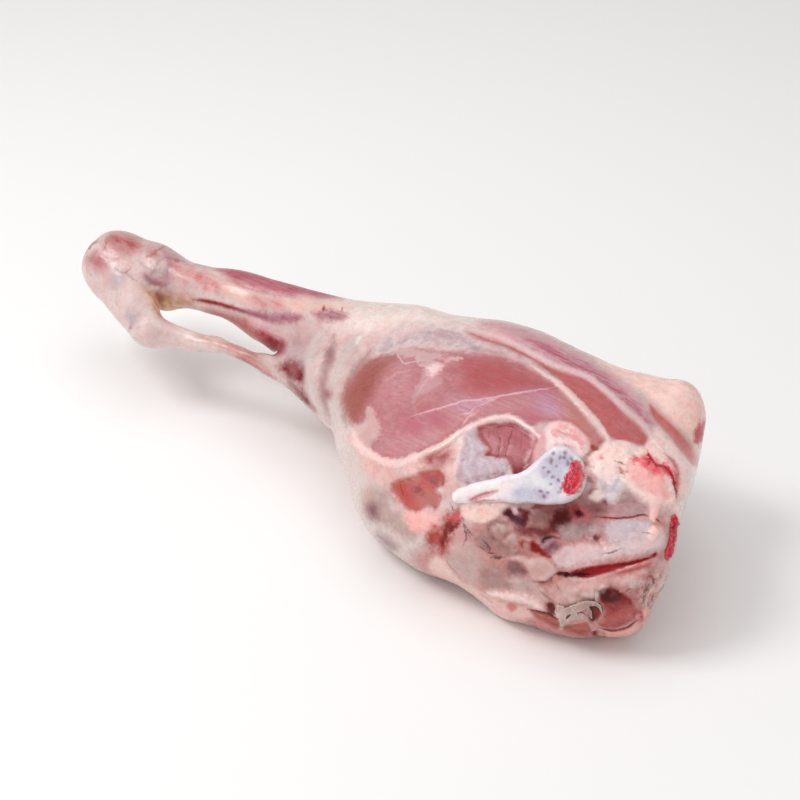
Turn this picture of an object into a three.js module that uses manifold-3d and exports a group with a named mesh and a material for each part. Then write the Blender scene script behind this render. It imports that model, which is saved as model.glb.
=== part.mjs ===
// A raw hind leg of veal with its shank on, lying on its outer side with the inner thigh up.
// Millimetres, +Z up. +X runs up the leg from the hock to the rump, and the heel points to -Y.
// The meat is one body: every muscle is a soft ellipsoid or a tapered limb, and they melt into each
// other by a smooth union. The split hip bone and the sawn rump bone are bodies of their own, each
// set in a pocket of the meat.
import * as THREE from "three";
import Module from "manifold-3d";

const wasm = await Module();
wasm.setup();

// Driving dimensions
const THIGH_WIDTH = 210; // front to back of the thigh's core
const THIGH_DEPTH = 160; // inner to outer side of the thigh's core
const HOCK_RADIUS = 26;
const ANKLE_RADIUS = 24;
const HEEL_RADIUS = 19;
const SHANK_RADIUS = 21;
const TENDON_RADIUS = 6.8;
const CALF_RADIUS = 38;
const RUMP_REACH = 143; // the rump cut lies this far up the leg from the thigh's centre
const RUMP_RIM = 14; // rounding of the rump cut's edge
const TABLE_DEPTH = 80; // the flattened outer side lies this far below the thigh's centre
const ROLL = THREE.MathUtils.degToRad(22); // the back of the thigh leans down to the table by this much
const BONE_HEAD_RADIUS = 23; // round head of the split hip bone
const BONE_THICKNESS = 22; // of the hip bone at its head
const BONE_FACE = 8; // sawn face of the hip bone above the middle of its head
const BONE_PROUD = 3; // the rump bone stands this far out of the rump cut
const BONE_RIM = 3; // rounding of the sawn edges
const BONE_GAP = 0.4; // free space between bone and meat
const MEAT_STEP = 10.8; // facet size of the thigh
const SHANK_FINENESS = 0.6; // facet size round the shank, as a share of the thigh's
const SHANK_SPACING = 0.7; // facet size along the shank, as a share of the thigh's
const BONE_STEP = 4.6; // facet size of the bones

// A place or direction on the leg: up the leg, towards its front, towards its inner side
const onLeg = (up, front, inner) =>
  new THREE.Vector3(up, front, inner).applyAxisAngle(new THREE.Vector3(1, 0, 0), ROLL);

const INNER = onLeg(0, 0, 1);

const at = {
  hockEnd: onLeg(-502, 23, 14),
  heel: onLeg(-412, -22, 10),
  ankle: onLeg(-450, 40, 4),
  midShank: onLeg(-365, 47, 2),
  knee: onLeg(-215, 62, 0),
  thighStart: onLeg(-130, 50, 0),
  tendonWaist: onLeg(-338, -8, 3),
  tendonRoot: onLeg(-310, -5, -2),
  calf: onLeg(-212, 13, -5),
  boneTail: onLeg(-1, -73, 62),
  boneNeck: onLeg(38, -47, 69),
  boneHead: onLeg(66, -24, 67),
  rumpBoneFront: onLeg(153, 10, 36),
  rumpBoneBack: onLeg(157, -26, 24),
};

// Distance to a round limb whose radius runs from one end's to the other's
function limb({ from, to, radii, blend }) {
  const along = to.clone().sub(from);
  const lengthSq = along.lengthSq();
  const offset = new THREE.Vector3();
  const distance = (p) => {
    offset.copy(p).sub(from);
    const t = THREE.MathUtils.clamp(offset.dot(along) / lengthSq, 0, 1);
    offset.addScaledVector(along, -t);
    return offset.length() - THREE.MathUtils.lerp(...radii, t);
  };
  return { distance, blend };
}

// Distance to a muscle belly: an ellipsoid from one end to the other, whose size is its width and its
// depth towards the inner side
function belly({ from, to, size, blend }) {
  const [halfWidth, halfDepth] = size.map((full) => full / 2);
  const centre = from.clone().lerp(to, 0.5);
  const along = to.clone().sub(from);
  const halfLength = along.length() / 2;
  along.normalize();
  const across = new THREE.Vector3().crossVectors(INNER, along).normalize();
  const deep = new THREE.Vector3().crossVectors(along, across);
  const offset = new THREE.Vector3();
  const unit = new THREE.Vector3();
  const slope = new THREE.Vector3();
  const distance = (p) => {
    offset.copy(p).sub(centre);
    unit.set(offset.dot(along) / halfLength, offset.dot(across) / halfWidth, offset.dot(deep) / halfDepth);
    slope.set(unit.x / halfLength, unit.y / halfWidth, unit.z / halfDepth);
    const reach = unit.length();
    return (reach * (reach - 1)) / Math.max(slope.length(), 1e-6);
  };
  return { distance, blend };
}

// Smooth minimum: two bodies melt together over the blend distance
function melt(a, b, blend) {
  const h = Math.max(blend - Math.abs(a - b), 0) / blend;
  return Math.min(a, b) - (h * h * blend) / 4;
}
const carve = (a, b, blend) => -melt(-a, b, blend);
const meltAll = (bodies, p) => bodies.reduce((d, { distance, blend }) => melt(d, distance(p), blend), 1e6);

const hockToHeel = { from: at.hockEnd, to: at.heel, radii: [HOCK_RADIUS, HEEL_RADIUS], blend: 12 };
const hockToShin = { from: at.hockEnd, to: at.ankle, radii: [HOCK_RADIUS, ANKLE_RADIUS], blend: 18 };
const lowerShin = { from: at.ankle, to: at.midShank, radii: [ANKLE_RADIUS, SHANK_RADIUS], blend: 16 };
const upperShin = { from: at.midShank, to: at.knee, radii: [SHANK_RADIUS, CALF_RADIUS], blend: 24 };
const heelTendon = { from: at.heel, to: at.tendonWaist, radii: [12, TENDON_RADIUS], blend: 14 };
const tendonEnd = { from: at.tendonWaist, to: at.tendonRoot, radii: [TENDON_RADIUS, 8], blend: 8 };
const calf = { from: at.tendonRoot, to: at.calf, radii: [8, CALF_RADIUS], blend: 16 };
const shank = [hockToHeel, hockToShin, lowerShin, upperShin, heelTendon, tendonEnd, calf].map(limb);

const coreSize = [THIGH_WIDTH, THIGH_DEPTH];
const thighCore = { from: onLeg(-192, 10, 0), to: onLeg(184, -5, 0), size: coreSize, blend: 40 };
const thighFront = { from: onLeg(-242, 62, -5), to: onLeg(126, 98, -5), size: [100, 108], blend: 28 };
const thighOuter = { from: onLeg(-205, 38, -35), to: onLeg(140, 44, -35), size: [140, 132], blend: 30 };
const fatFlap = { from: onLeg(10, 97, 2), to: onLeg(115, 104, 2), size: [78, 68], blend: 14 };
const thighBack = { from: onLeg(-140, -50, -14), to: onLeg(70, -66, -14), size: [92, 116], blend: 40 };
const rumpBack = { from: onLeg(-52, -68, -24), to: onLeg(166, -42, -20), size: [102, 104], blend: 18 };
const thigh = [thighCore, thighFront, thighOuter, fatFlap, thighBack, rumpBack].map(belly);

const muscles = [...shank, ...thigh];
const hollow = { from: onLeg(58, -54, 70), to: onLeg(172, -60, 56), size: [80, 64], blend: 16 };
const pelvicHollow = belly(hollow);
const rumpCut = new THREE.Plane(onLeg(0.93, 0.25, -0.27).normalize(), -RUMP_REACH);

// Distance to the meat's surface, negative inside
function meat(p) {
  let d = meltAll(muscles, p);
  d = carve(d, pelvicHollow.distance(p), pelvicHollow.blend);
  d = carve(d, -rumpCut.distanceToPoint(p), RUMP_RIM);
  return Math.max(d, -TABLE_DEPTH - p.z);
}

// The hip bone is a club with a sawn face that looks to the inner side and back
const boneClub = [
  limb({ from: at.boneTail, to: at.boneNeck, radii: [5, 9], blend: 6 }),
  limb({ from: at.boneNeck, to: at.boneHead, radii: [10, BONE_HEAD_RADIUS], blend: 8 }),
];
const sawnFace = new THREE.Plane().setFromNormalAndCoplanarPoint(
  onLeg(0.28, -0.42, 0.86).normalize(),
  at.boneHead,
);

function hipBone(p) {
  const height = sawnFace.distanceToPoint(p) - BONE_FACE;
  const d = carve(meltAll(boneClub, p), -height, BONE_RIM);
  return carve(d, height + BONE_THICKNESS, BONE_RIM);
}

const rumpStub = limb({ from: at.rumpBoneFront, to: at.rumpBoneBack, radii: [9, 7] });
const rumpBone = (p) => carve(rumpStub.distance(p), BONE_PROUD - rumpCut.distanceToPoint(p), BONE_RIM);

// Closed surface of a distance field, with one vertex in each grid cell that the surface passes through.
// The grid fills the box, and its points may be moved by a warp.
function skin(field, box, step, warp = (p) => p) {
  const count = box.getSize(new THREE.Vector3()).divideScalar(step).ceil().addScalar(1);
  const [nx, ny, nz] = count.toArray();
  const index = (i, j, k) => i + nx * (j + ny * k);
  const point = (i, j, k) => warp(new THREE.Vector3(i, j, k).multiplyScalar(step).add(box.min));
  const value = new Float64Array(nx * ny * nz);
  const eachCell = (visit) => {
    for (let k = 0; k < nz; k++) for (let j = 0; j < ny; j++) for (let i = 0; i < nx; i++) visit(i, j, k);
  };
  eachCell((i, j, k) => (value[index(i, j, k)] = field(point(i, j, k))));

  const corners = [0, 1, 2, 3, 4, 5, 6, 7].map((c) => [c & 1, (c >> 1) & 1, c >> 2]);
  const edges = [];
  for (let a = 0; a < 8; a++) for (const bit of [1, 2, 4]) if (!(a & bit)) edges.push([a, a | bit]);
  const cellVertex = new Map();
  const positions = [];
  eachCell((i, j, k) => {
    if (i === nx - 1 || j === ny - 1 || k === nz - 1) return;
    const sum = new THREE.Vector3();
    let crossings = 0;
    for (const [a, b] of edges) {
      const [ca, cb] = [corners[a], corners[b]].map((c) => [i + c[0], j + c[1], k + c[2]]);
      const [va, vb] = [value[index(...ca)], value[index(...cb)]];
      if (va < 0 === vb < 0) continue;
      sum.add(point(...ca).lerp(point(...cb), va / (va - vb)));
      crossings++;
    }
    if (!crossings) return;
    const vertex = settle(field, sum.divideScalar(crossings), step);
    cellVertex.set(index(i, j, k), positions.length / 3);
    positions.push(...vertex.toArray());
  });

  const triangles = [];
  const corner = (v) => new THREE.Vector3().fromArray(positions, 3 * v);
  const quad = (a, b, c, d) => {
    if (corner(a).distanceTo(corner(c)) < corner(b).distanceTo(corner(d))) triangles.push(a, b, c, a, c, d);
    else triangles.push(a, b, d, b, c, d);
  };
  eachCell((i, j, k) => {
    const inside = value[index(i, j, k)] < 0;
    const here = [i, j, k];
    for (let axis = 0; axis < 3; axis++) {
      const [u, v] = [(axis + 1) % 3, (axis + 2) % 3];
      const next = [...here];
      next[axis]++;
      if (next[axis] >= [nx, ny, nz][axis] || value[index(...next)] < 0 === inside) continue;
      const around = [[-1, -1], [0, -1], [0, 0], [-1, 0]].map(([du, dv]) => {
        const cell = [...here];
        cell[u] += du;
        cell[v] += dv;
        return cellVertex.get(index(...cell));
      });
      if (inside) quad(...around);
      else quad(...around.reverse());
    }
  });
  return new THREE.BufferGeometry()
    .setAttribute("position", new THREE.Float32BufferAttribute(positions, 3))
    .setIndex(triangles);
}

// Moves a vertex along the field's slope until it lies on the surface
function settle(field, vertex, step) {
  const probe = step / 50;
  for (let round = 0; round < 3; round++) {
    const d = field(vertex);
    const slope = new THREE.Vector3();
    for (const axis of ["x", "y", "z"]) {
      const moved = vertex.clone();
      moved[axis] += probe;
      slope[axis] = (field(moved) - d) / probe;
    }
    vertex.addScaledVector(slope, -THREE.MathUtils.clamp(d / slope.lengthSq(), -step / 2, step / 2));
  }
  return vertex;
}

// The same surface moved out along its normals
function swell(geometry, distance) {
  const swollen = geometry.clone();
  swollen.computeVertexNormals();
  const { position, normal } = swollen.attributes;
  const vertex = new THREE.Vector3();
  const outward = new THREE.Vector3();
  for (let i = 0; i < position.count; i++) {
    vertex.fromBufferAttribute(position, i);
    outward.fromBufferAttribute(normal, i);
    vertex.addScaledVector(outward, distance);
    position.setXYZ(i, ...vertex.toArray());
  }
  return swollen;
}

function toSolid(geometry) {
  return new wasm.Manifold(
    new wasm.Mesh({
      numProp: 3,
      vertProperties: new Float32Array(geometry.attributes.position.array),
      triVerts: new Uint32Array(geometry.index.array),
    }),
  );
}

function toGeometry(solid) {
  const mesh = solid.getMesh();
  return new THREE.BufferGeometry()
    .setAttribute("position", new THREE.BufferAttribute(new Float32Array(mesh.vertProperties), 3))
    .setIndex([...mesh.triVerts]);
}

// Draws the grid in round the shank's line, so that its facets are as fine as the shank is thin
function taper(p) {
  const line = at.midShank;
  const share = THREE.MathUtils.smoothstep(p.x, at.ankle.x, at.thighStart.x);
  const scale = THREE.MathUtils.lerp(SHANK_FINENESS, 1, share);
  const shorten = Math.min(p.x - at.knee.x, 0) * (1 - SHANK_SPACING);
  return p.set(p.x - shorten, line.y + (p.y - line.y) * scale, line.z + (p.z - line.z) * scale);
}

const boxAround = (points, margin) => new THREE.Box3().setFromPoints(points).expandByScalar(margin);
const meatBox = new THREE.Box3(new THREE.Vector3(-700, -190, -105), new THREE.Vector3(200, 190, 150));
const hipBoneSkin = skin(hipBone, boxAround([at.boneTail, at.boneHead], 32), BONE_STEP);
const rumpBoneSkin = skin(rumpBone, boxAround([at.rumpBoneFront, at.rumpBoneBack], 18), BONE_STEP);

let meatSolid = toSolid(skin(meat, meatBox, MEAT_STEP, taper));
for (const bone of [hipBoneSkin, rumpBoneSkin]) {
  meatSolid = meatSolid.subtract(toSolid(swell(bone, BONE_GAP)));
}

const flesh = new THREE.MeshStandardMaterial({ color: 0xc98f86, roughness: 0.45 });
const cleanBone = new THREE.MeshStandardMaterial({ color: 0xe4dfe6, roughness: 0.4 });
const redBone = new THREE.MeshStandardMaterial({ color: 0xb2323c, roughness: 0.55 });

const leg = new THREE.Group();
function place(name, geometry, material) {
  const mesh = new THREE.Mesh(geometry, material);
  mesh.name = name;
  leg.add(mesh);
}
place("leg", toGeometry(meatSolid), flesh);
place("aitch_bone", hipBoneSkin, cleanBone);
place("rump_bone", rumpBoneSkin, redBone);

// The origin is under the middle of the whole, on the table
const whole = new THREE.Box3().setFromObject(leg);
const middle = whole.getCenter(new THREE.Vector3());
leg.position.set(-middle.x, -middle.y, -whole.min.z);

export default leg;
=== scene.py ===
import math

import bmesh
import bpy
import numpy as np
from mathutils import Euler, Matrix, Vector, noise
from mathutils.bvhtree import BVHTree


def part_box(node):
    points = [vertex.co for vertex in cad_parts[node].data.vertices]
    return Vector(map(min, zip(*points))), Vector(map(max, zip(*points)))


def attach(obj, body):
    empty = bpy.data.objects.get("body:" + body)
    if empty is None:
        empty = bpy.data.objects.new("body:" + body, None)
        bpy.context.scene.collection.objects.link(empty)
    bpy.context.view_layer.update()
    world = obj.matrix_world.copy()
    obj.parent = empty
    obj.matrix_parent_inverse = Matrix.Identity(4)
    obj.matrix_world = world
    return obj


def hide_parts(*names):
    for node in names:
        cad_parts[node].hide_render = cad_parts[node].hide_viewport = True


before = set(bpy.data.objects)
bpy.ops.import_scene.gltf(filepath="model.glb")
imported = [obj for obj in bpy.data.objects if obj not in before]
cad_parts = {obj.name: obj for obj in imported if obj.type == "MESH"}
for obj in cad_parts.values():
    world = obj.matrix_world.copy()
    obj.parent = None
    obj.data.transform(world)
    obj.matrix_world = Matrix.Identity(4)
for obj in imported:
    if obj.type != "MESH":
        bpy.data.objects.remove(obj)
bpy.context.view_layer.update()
print("frame loaded with", ", ".join(sorted(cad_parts)))


# Camera, light and floor

photo = {
    "pixels": 800,                          # side of the square picture
    "azimuth": 38, "elevation": 34,         # degrees
    "lens": 85, "sensor": 36,               # mm
    "distance": 1.6,                        # m, along the view, from the hip to the camera
    "hip": (0.183676, -0.011881, 0.080),    # m, where the hip lies in the frame
    "hipPixel": (521, 475),
}

studio = {
    "world": 0.45,
    "lights": {
        "key": {"at": (-1.0, -1.0, 2.1), "size": 1.0, "power": 26},
        "fill": {"at": (1.7, -0.6, 1.3), "size": 1.8, "power": 3},
        "low": {"at": (-0.5, -1.5, 0.4), "size": 0.7, "power": 2.5},
        "top": {"at": (0.1, 0.3, 2.3), "size": 2.0, "power": 13},
    },
    "floor": {"size": 14, "colour": (252, 251, 250), "roughness": 0.7},
}


def linear(colour):                         # 0 to 255 as seen on a screen, to the light it stands for
    shares = [c / 255 for c in colour]
    return tuple(c / 12.92 if c < 0.04 else ((c + 0.055) / 1.055) ** 2.4 for c in shares) + (1.0,)


hip = np.array(photo["hip"])
focal = photo["pixels"] * photo["lens"] / photo["sensor"]
middle = photo["pixels"] / 2
viewTurn = Euler((math.radians(90 - photo["elevation"]), 0, math.radians(photo["azimuth"])))
viewRight, viewUp, viewBack = (np.array(viewTurn.to_matrix().col[i]) for i in range(3))
hipAside = (photo["hipPixel"][0] - middle) / focal * photo["distance"]
hipAbove = (middle - photo["hipPixel"][1]) / focal * photo["distance"]
eye = hip + photo["distance"] * viewBack - hipAside * viewRight - hipAbove * viewUp


def toPhoto(points):                        # pixel across, pixel down, and depth in metres
    away = points - eye
    depth = -away @ viewBack
    return middle + focal * (away @ viewRight) / depth, middle - focal * (away @ viewUp) / depth, depth


def addLight(name, settings):
    lamp = bpy.data.lights.new(name, "AREA")
    lamp.size = settings["size"]
    lamp.energy = settings["power"]
    holder = bpy.data.objects.new(name, lamp)
    bpy.context.collection.objects.link(holder)
    holder.location = settings["at"]
    holder.visible_camera = False
    holder.rotation_euler = (-Vector(settings["at"])).to_track_quat("-Z", "Y").to_euler()


def addCamera():
    camera = bpy.data.objects.new("photoCamera", bpy.data.cameras.new("photoCamera"))
    camera.data.lens = photo["lens"]
    camera.data.sensor_width = photo["sensor"]
    camera.location = eye
    camera.rotation_euler = viewTurn
    bpy.context.collection.objects.link(camera)
    bpy.context.scene.camera = camera


def addFloor(settings):
    ground = bmesh.new()
    bmesh.ops.create_grid(ground, x_segments=1, y_segments=1, size=settings["size"] / 2)
    floorMesh = bpy.data.meshes.new("floor")
    ground.to_mesh(floorMesh)
    ground.free()
    floor = bpy.data.objects.new("floor", floorMesh)
    bpy.context.collection.objects.link(floor)
    paint = bpy.data.materials.new("paleFloor")
    paint.use_nodes = True
    shader = paint.node_tree.nodes["Principled BSDF"]
    shader.inputs["Base Color"].default_value = linear(settings["colour"])
    shader.inputs["Roughness"].default_value = settings["roughness"]
    floorMesh.materials.append(paint)


def makeStudio():
    scene = bpy.context.scene
    scene.view_settings.view_transform = "Standard"
    scene.world = bpy.data.worlds.new("studioWorld")
    scene.world.use_nodes = True
    sky = scene.world.node_tree.nodes["Background"]
    sky.inputs["Color"].default_value = (1, 1, 1, 1)
    sky.inputs["Strength"].default_value = studio["world"]
    addCamera()
    for name, settings in studio["lights"].items():
        addLight(name + "Light", settings)
    addFloor(studio["floor"])


makeStudio()
print("studio ready")


# Shader sums

class Wire:                                 # a socket that takes part in sums
    def __init__(self, tree, socket):
        self.tree = tree
        self.socket = socket

    def make(self, kind, settings=None, sockets=None, out=0):       # any other node
        node = self.tree.nodes.new("ShaderNode" + kind)
        for name, value in (settings or {}).items():
            setattr(node, name, value)
        for key, value in (sockets or {}).items():
            if isinstance(value, Wire):
                self.tree.links.new(value.socket, node.inputs[key])
            else:
                node.inputs[key].default_value = value
        return Wire(self.tree, node.outputs[out])

    def part(self, axis):                   # a vector's share along an axis
        return self.make("VectorMath", {"operation": "DOT_PRODUCT"}, {0: self, 1: axis}, 1)

    def sum(self, operation, *values):
        return self.make("Math", {"operation": operation}, dict(enumerate(values)))

    def __add__(self, other):
        return self.sum("ADD", self, other)

    def __radd__(self, other):
        return self.sum("ADD", other, self)

    def __sub__(self, other):
        return self.sum("SUBTRACT", self, other)

    def __rsub__(self, other):
        return self.sum("SUBTRACT", other, self)

    def __mul__(self, other):
        return self.sum("MULTIPLY", self, other)

    def __rmul__(self, other):
        return self.sum("MULTIPLY", other, self)

    def __abs__(self):
        return self.sum("ABSOLUTE", self)


def rise(value, low, high):                 # 0 below low, 1 above high
    return value.make("MapRange", {"interpolation_type": "SMOOTHSTEP"}, {0: value, 1: low, 2: high})


def fade(value, low, high):                 # 1 below low, 0 above high
    sockets = {0: value, 1: low, 2: high, 3: 1.0, 4: 0.0}
    return value.make("MapRange", {"interpolation_type": "SMOOTHSTEP"}, sockets)


def mix(mask, under, over):                 # two colours
    return mask.make("Mix", {"data_type": "RGBA"}, {0: mask, 6: under, 7: over}, 2)


def stain(mask, under, tint):               # a colour darkened by a tint
    settings = {"data_type": "RGBA", "blend_type": "MULTIPLY"}
    return under.make("Mix", settings, {0: mask, 6: under, 7: tint}, 2)


def tone(colour, amount):                   # a colour made lighter or darker by a value round 1
    grey = amount.make("CombineColor", None, {0: amount, 1: amount, 2: amount})
    return stain(1.0, colour, grey)


def cloud(place, scale, detail=3.0, roughness=0.55, stretch=None, turn=(0, 0, 0)):
    if stretch:
        place = place.make("Mapping", None, {"Vector": place, "Scale": stretch, "Rotation": turn})
    sockets = {"Vector": place, "Scale": scale, "Detail": detail, "Roughness": roughness}
    return place.make("TexNoise", None, sockets)


# Distances in a picture or a side view

far = 40.0                                  # past which a distance isn't measured


def smooth(value, low, high):
    t = np.clip((value - low) / (high - low), 0, 1)
    return t * t * (3 - 2 * t)


def curve(points, closed, steps=5):         # a smooth line through a few points
    spots = np.array(points, float)
    if closed:
        spots = np.vstack([spots[-1], spots, spots[:2]])
    else:
        spots = np.vstack([2 * spots[0] - spots[1], spots, 2 * spots[-1] - spots[-2]])
    line = []
    for a, b, c, d in zip(spots, spots[1:], spots[2:], spots[3:]):
        for t in np.arange(steps) / steps:
            line.append(b + 0.5 * t * (c - a + t * (2 * a - 5 * b + 4 * c - d + t * (3 * (b - c) + d - a))))
    if not closed:
        line.append(spots[-2])
    return np.array(line)


def nearby(x, y, line):                     # the points close to a line: which they are and where they lie
    low, high = line.min(0) - far, line.max(0) + far
    near = np.nonzero((x > low[0]) & (x < high[0]) & (y > low[1]) & (y < high[1]))[0]
    return near, x[near], y[near]


def insideDepth(x, y, outline):             # how far inside an outline, negative outside it
    loop = curve(outline, True)
    depth = np.full(len(x), -far)
    near, nx, ny = nearby(x, y, loop)
    nearest = np.full(len(near), far * far)
    inside = np.zeros(len(near), bool)
    for (ax, ay), (bx, by) in zip(loop, np.roll(loop, -1, 0)):
        dx, dy = bx - ax, by - ay
        t = np.clip(((nx - ax) * dx + (ny - ay) * dy) / max(dx * dx + dy * dy, 1e-9), 0, 1)
        nearest = np.minimum(nearest, (nx - ax - t * dx) ** 2 + (ny - ay - t * dy) ** 2)
        if ay != by:
            inside ^= ((ay > ny) != (by > ny)) & (nx < ax + (ny - ay) * dx / dy)
    depth[near] = np.where(inside, 1, -1) * np.sqrt(nearest)
    return depth


def alongStroke(x, y, points):              # signed offset from a line, distance from it, place along it
    line = curve(points, False)
    offset, distance, place = np.full(len(x), far), np.full(len(x), far), np.zeros(len(x))
    near, nx, ny = nearby(x, y, line)
    best = np.full(len(near), far)
    for i, ((ax, ay), (bx, by)) in enumerate(zip(line, line[1:])):
        dx, dy = bx - ax, by - ay
        length = math.hypot(dx, dy)
        t = np.clip(((nx - ax) * dx + (ny - ay) * dy) / (length * length), 0, 1)
        away = np.hypot(nx - ax - t * dx, ny - ay - t * dy)
        closer = away < best
        best = np.where(closer, away, best)
        side = ((nx - ax) * dy - (ny - ay) * dx) / length
        offset[near] = np.where(closer, side, offset[near])
        place[near] = np.where(closer, (i + t) / (len(line) - 1), place[near])
    distance[near] = best
    return offset, distance, place


def blobs(*spots):                          # small round outlines: where, half width and half height
    return [[(x - wide, y), (x, y - high), (x + wide, y), (x, y + high)] for x, y, wide, high in spots]


# The surface of a piece

noise.seed_set(3)                           # the bends of the lobes are then the same in each run


def cadCopy(name, swell=0.0):
    copy = bmesh.new()
    copy.from_mesh(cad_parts[name].data)
    bmesh.ops.remove_doubles(copy, verts=copy.verts, dist=0.00001)
    copy.normal_update()
    for vert in copy.verts:
        vert.co += vert.normal * swell
    return copy


def placeMesh(name, parts):                 # one object out of several bmeshes
    whole = bmesh.new()
    for part in parts:
        mesh = bpy.data.meshes.new(name)
        part.to_mesh(mesh)
        whole.from_mesh(mesh)
        bpy.data.meshes.remove(mesh)
        part.free()
    mesh = bpy.data.meshes.new(name)
    whole.to_mesh(mesh)
    whole.free()
    piece = bpy.data.objects.new(name, mesh)
    bpy.context.collection.objects.link(piece)
    return piece


def applyModifiers(piece):
    shaped = bpy.data.meshes.new_from_object(piece.evaluated_get(bpy.context.evaluated_depsgraph_get()))
    old = piece.data
    piece.modifiers.clear()
    piece.data = shaped
    bpy.data.meshes.remove(old)
    piece.data.name = piece.name


def remesh(piece, voxel, rounding):
    soft = piece.modifiers.new("rounding", "SUBSURF")
    soft.levels = soft.render_levels = rounding
    net = piece.modifiers.new("net", "REMESH")
    net.mode = "VOXEL"
    net.voxel_size = voxel
    applyModifiers(piece)


def readVectors(items, key):
    flat = np.zeros(len(items) * 3, np.float32)
    items.foreach_get(key, flat)
    return flat.reshape(-1, 3).astype(float)


def places(piece):
    return readVectors(piece.data.vertices, "co")


def normals(piece):
    return readVectors(piece.data.vertex_normals, "vector")


def setPlaces(piece, points):
    piece.data.vertices.foreach_set("co", points.astype(np.float32).ravel())
    piece.data.update()


def edges(piece):
    flat = np.zeros(len(piece.data.edges) * 2, np.int32)
    piece.data.edges.foreach_get("vertices", flat)
    return flat.reshape(-1, 2)


def relax(values, links, passes, share=0.5):        # each point moves towards its neighbours
    values = values.reshape(len(values), -1)
    size = len(values)
    first, second = links.T
    count = np.bincount(links.ravel(), minlength=size)[:, None]
    for turn in range(passes):
        total = np.stack([np.bincount(first, column[second], size)
                          + np.bincount(second, column[first], size) for column in values.T], 1)
        values = values + share * (total / np.maximum(count, 1) - values)
    return values


sight = {
    "cell": 5,                              # pixels, side of the cells searched for what lies in front
    "behind": 0.035,                        # m behind the front that still counts as seen
    "grazing": (-0.4, -0.15),               # from hidden to seen, by how far the surface faces the camera
}


def seenShare(points, facing):              # 1 where the photo shows the surface, 0 where it is hidden
    across, down, depth = toPhoto(points)
    wide = photo["pixels"] // sight["cell"] + 1
    column, row = (np.clip(v // sight["cell"], 0, wide - 1).astype(int) for v in (across, down))
    cells = row * wide + column
    front = np.full(wide * wide, np.inf)
    np.minimum.at(front, cells, depth)
    return smooth(facing, *sight["grazing"]) * (depth < front[cells] + sight["behind"])


def refineSeen(piece):                      # halves the mesh where the photo shows it
    seen = seenShare(places(piece), normals(piece) @ viewBack) > 0.5
    net = bmesh.new()
    net.from_mesh(piece.data)
    net.verts.ensure_lookup_table()
    chosen = {edge for face in net.faces if all(seen[v.index] for v in face.verts) for edge in face.edges}
    bmesh.ops.subdivide_edges(net, edges=list(chosen), cuts=1, use_grid_fill=True)
    bmesh.ops.triangulate(net, faces=[face for face in net.faces if len(face.verts) > 4])
    net.to_mesh(piece.data)
    net.free()


def lumps(points, size, seed):              # uneven swelling, from about -1 to 1
    shift = Vector((seed * 3.7, seed * 1.9, seed * 2.3))
    return np.array([noise.noise(Vector(p / size) + shift) for p in points])


lobe = {"bend": 0.6, "bendScale": 0.7, "crease": 2.2, "roundness": 1.5}


def lobules(points, size, seed):            # rounded lobes with creases between them, from about -1 to 1
    shift = Vector((seed * 2.1, seed * 4.3, seed * 1.7))
    heights = []
    for p in points:
        spot = Vector(p / size) + shift
        spot += lobe["bend"] * noise.noise_vector(spot * lobe["bendScale"])
        heights.append(1 - lobe["crease"] * noise.voronoi(spot)[0][0] ** lobe["roundness"])
    return np.array(heights)


nudgeSlack = 0.1                            # how far pulls that lie close together give way to each other


def hold(x, y, spots, reach):               # how firmly each spot in the picture holds each point
    return np.exp(-((x[:, None] - spots[:, 0]) ** 2 + (y[:, None] - spots[:, 1]) ** 2) / (2 * reach ** 2))


def grab(points, nudges):                   # pulls the outline about, as seen in the picture
    spots = np.array([spot for reach, pulls in nudges for spot, move in pulls], float)
    moves = np.array([move for reach, pulls in nudges for spot, move in pulls], float)
    reach = np.array([reach for reach, pulls in nudges for pull in pulls], float)
    strength = np.linalg.solve(hold(*spots.T, spots, reach) + nudgeSlack * np.eye(len(spots)), moves)
    across, down, depth = toPhoto(points)
    shift = hold(across, down, spots, reach) @ strength * (depth / focal)[:, None]
    return points + shift[:, :1] * viewRight - shift[:, 1:] * viewUp


surroundings = {"closePasses": 10, "widePasses": 40, "wideShare": 0.5}


def hollows(points, outward, links):        # mm that a point lies below what surrounds it
    close = relax(points, links, surroundings["closePasses"])
    wide = relax(close, links, surroundings["widePasses"])
    return 1000 * (((close - points) + surroundings["wideShare"] * (wide - points)) * outward).sum(1)


# Finishes laid over a piece in turn, each drawn as areas or strokes in the picture or in a side view

viewEdges = {"seenPasses": 10, "seen": (0.3, 0.9), "rump": (0.5, 0.75), "under": (0.5, 0.8)}


def sideViews(points, outward, links):      # for each view, two coordinates and the share it paints
    along, aside, above = 1000 * points.T
    across, down, depth = toPhoto(points)
    seen = relax(seenShare(points, outward @ viewBack), links, viewEdges["seenPasses"])[:, 0]
    seen = smooth(seen, *viewEdges["seen"])
    rump = smooth(outward[:, 0], *viewEdges["rump"]) * (1 - seen)
    under = smooth(-outward[:, 2], *viewEdges["under"]) * (1 - seen) * (1 - rump)
    back = (1 - seen) * (1 - rump) * (1 - under)
    return {"photo": (across, down, seen), "rump": (aside, above, rump), "under": (along, aside, under),
            "back": (along, above, back)}


usual = {                                   # for a layer that doesn't say
    "edge": 2.0, "strength": 1.0, "flesh": 0,
    "taper": 0.2, "tip": 0.02,              # share of a stroke that narrows, and what is left at its tip
}


def hasStrokes(layer):
    return any(key.endswith("Strokes") for key in layer)


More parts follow.
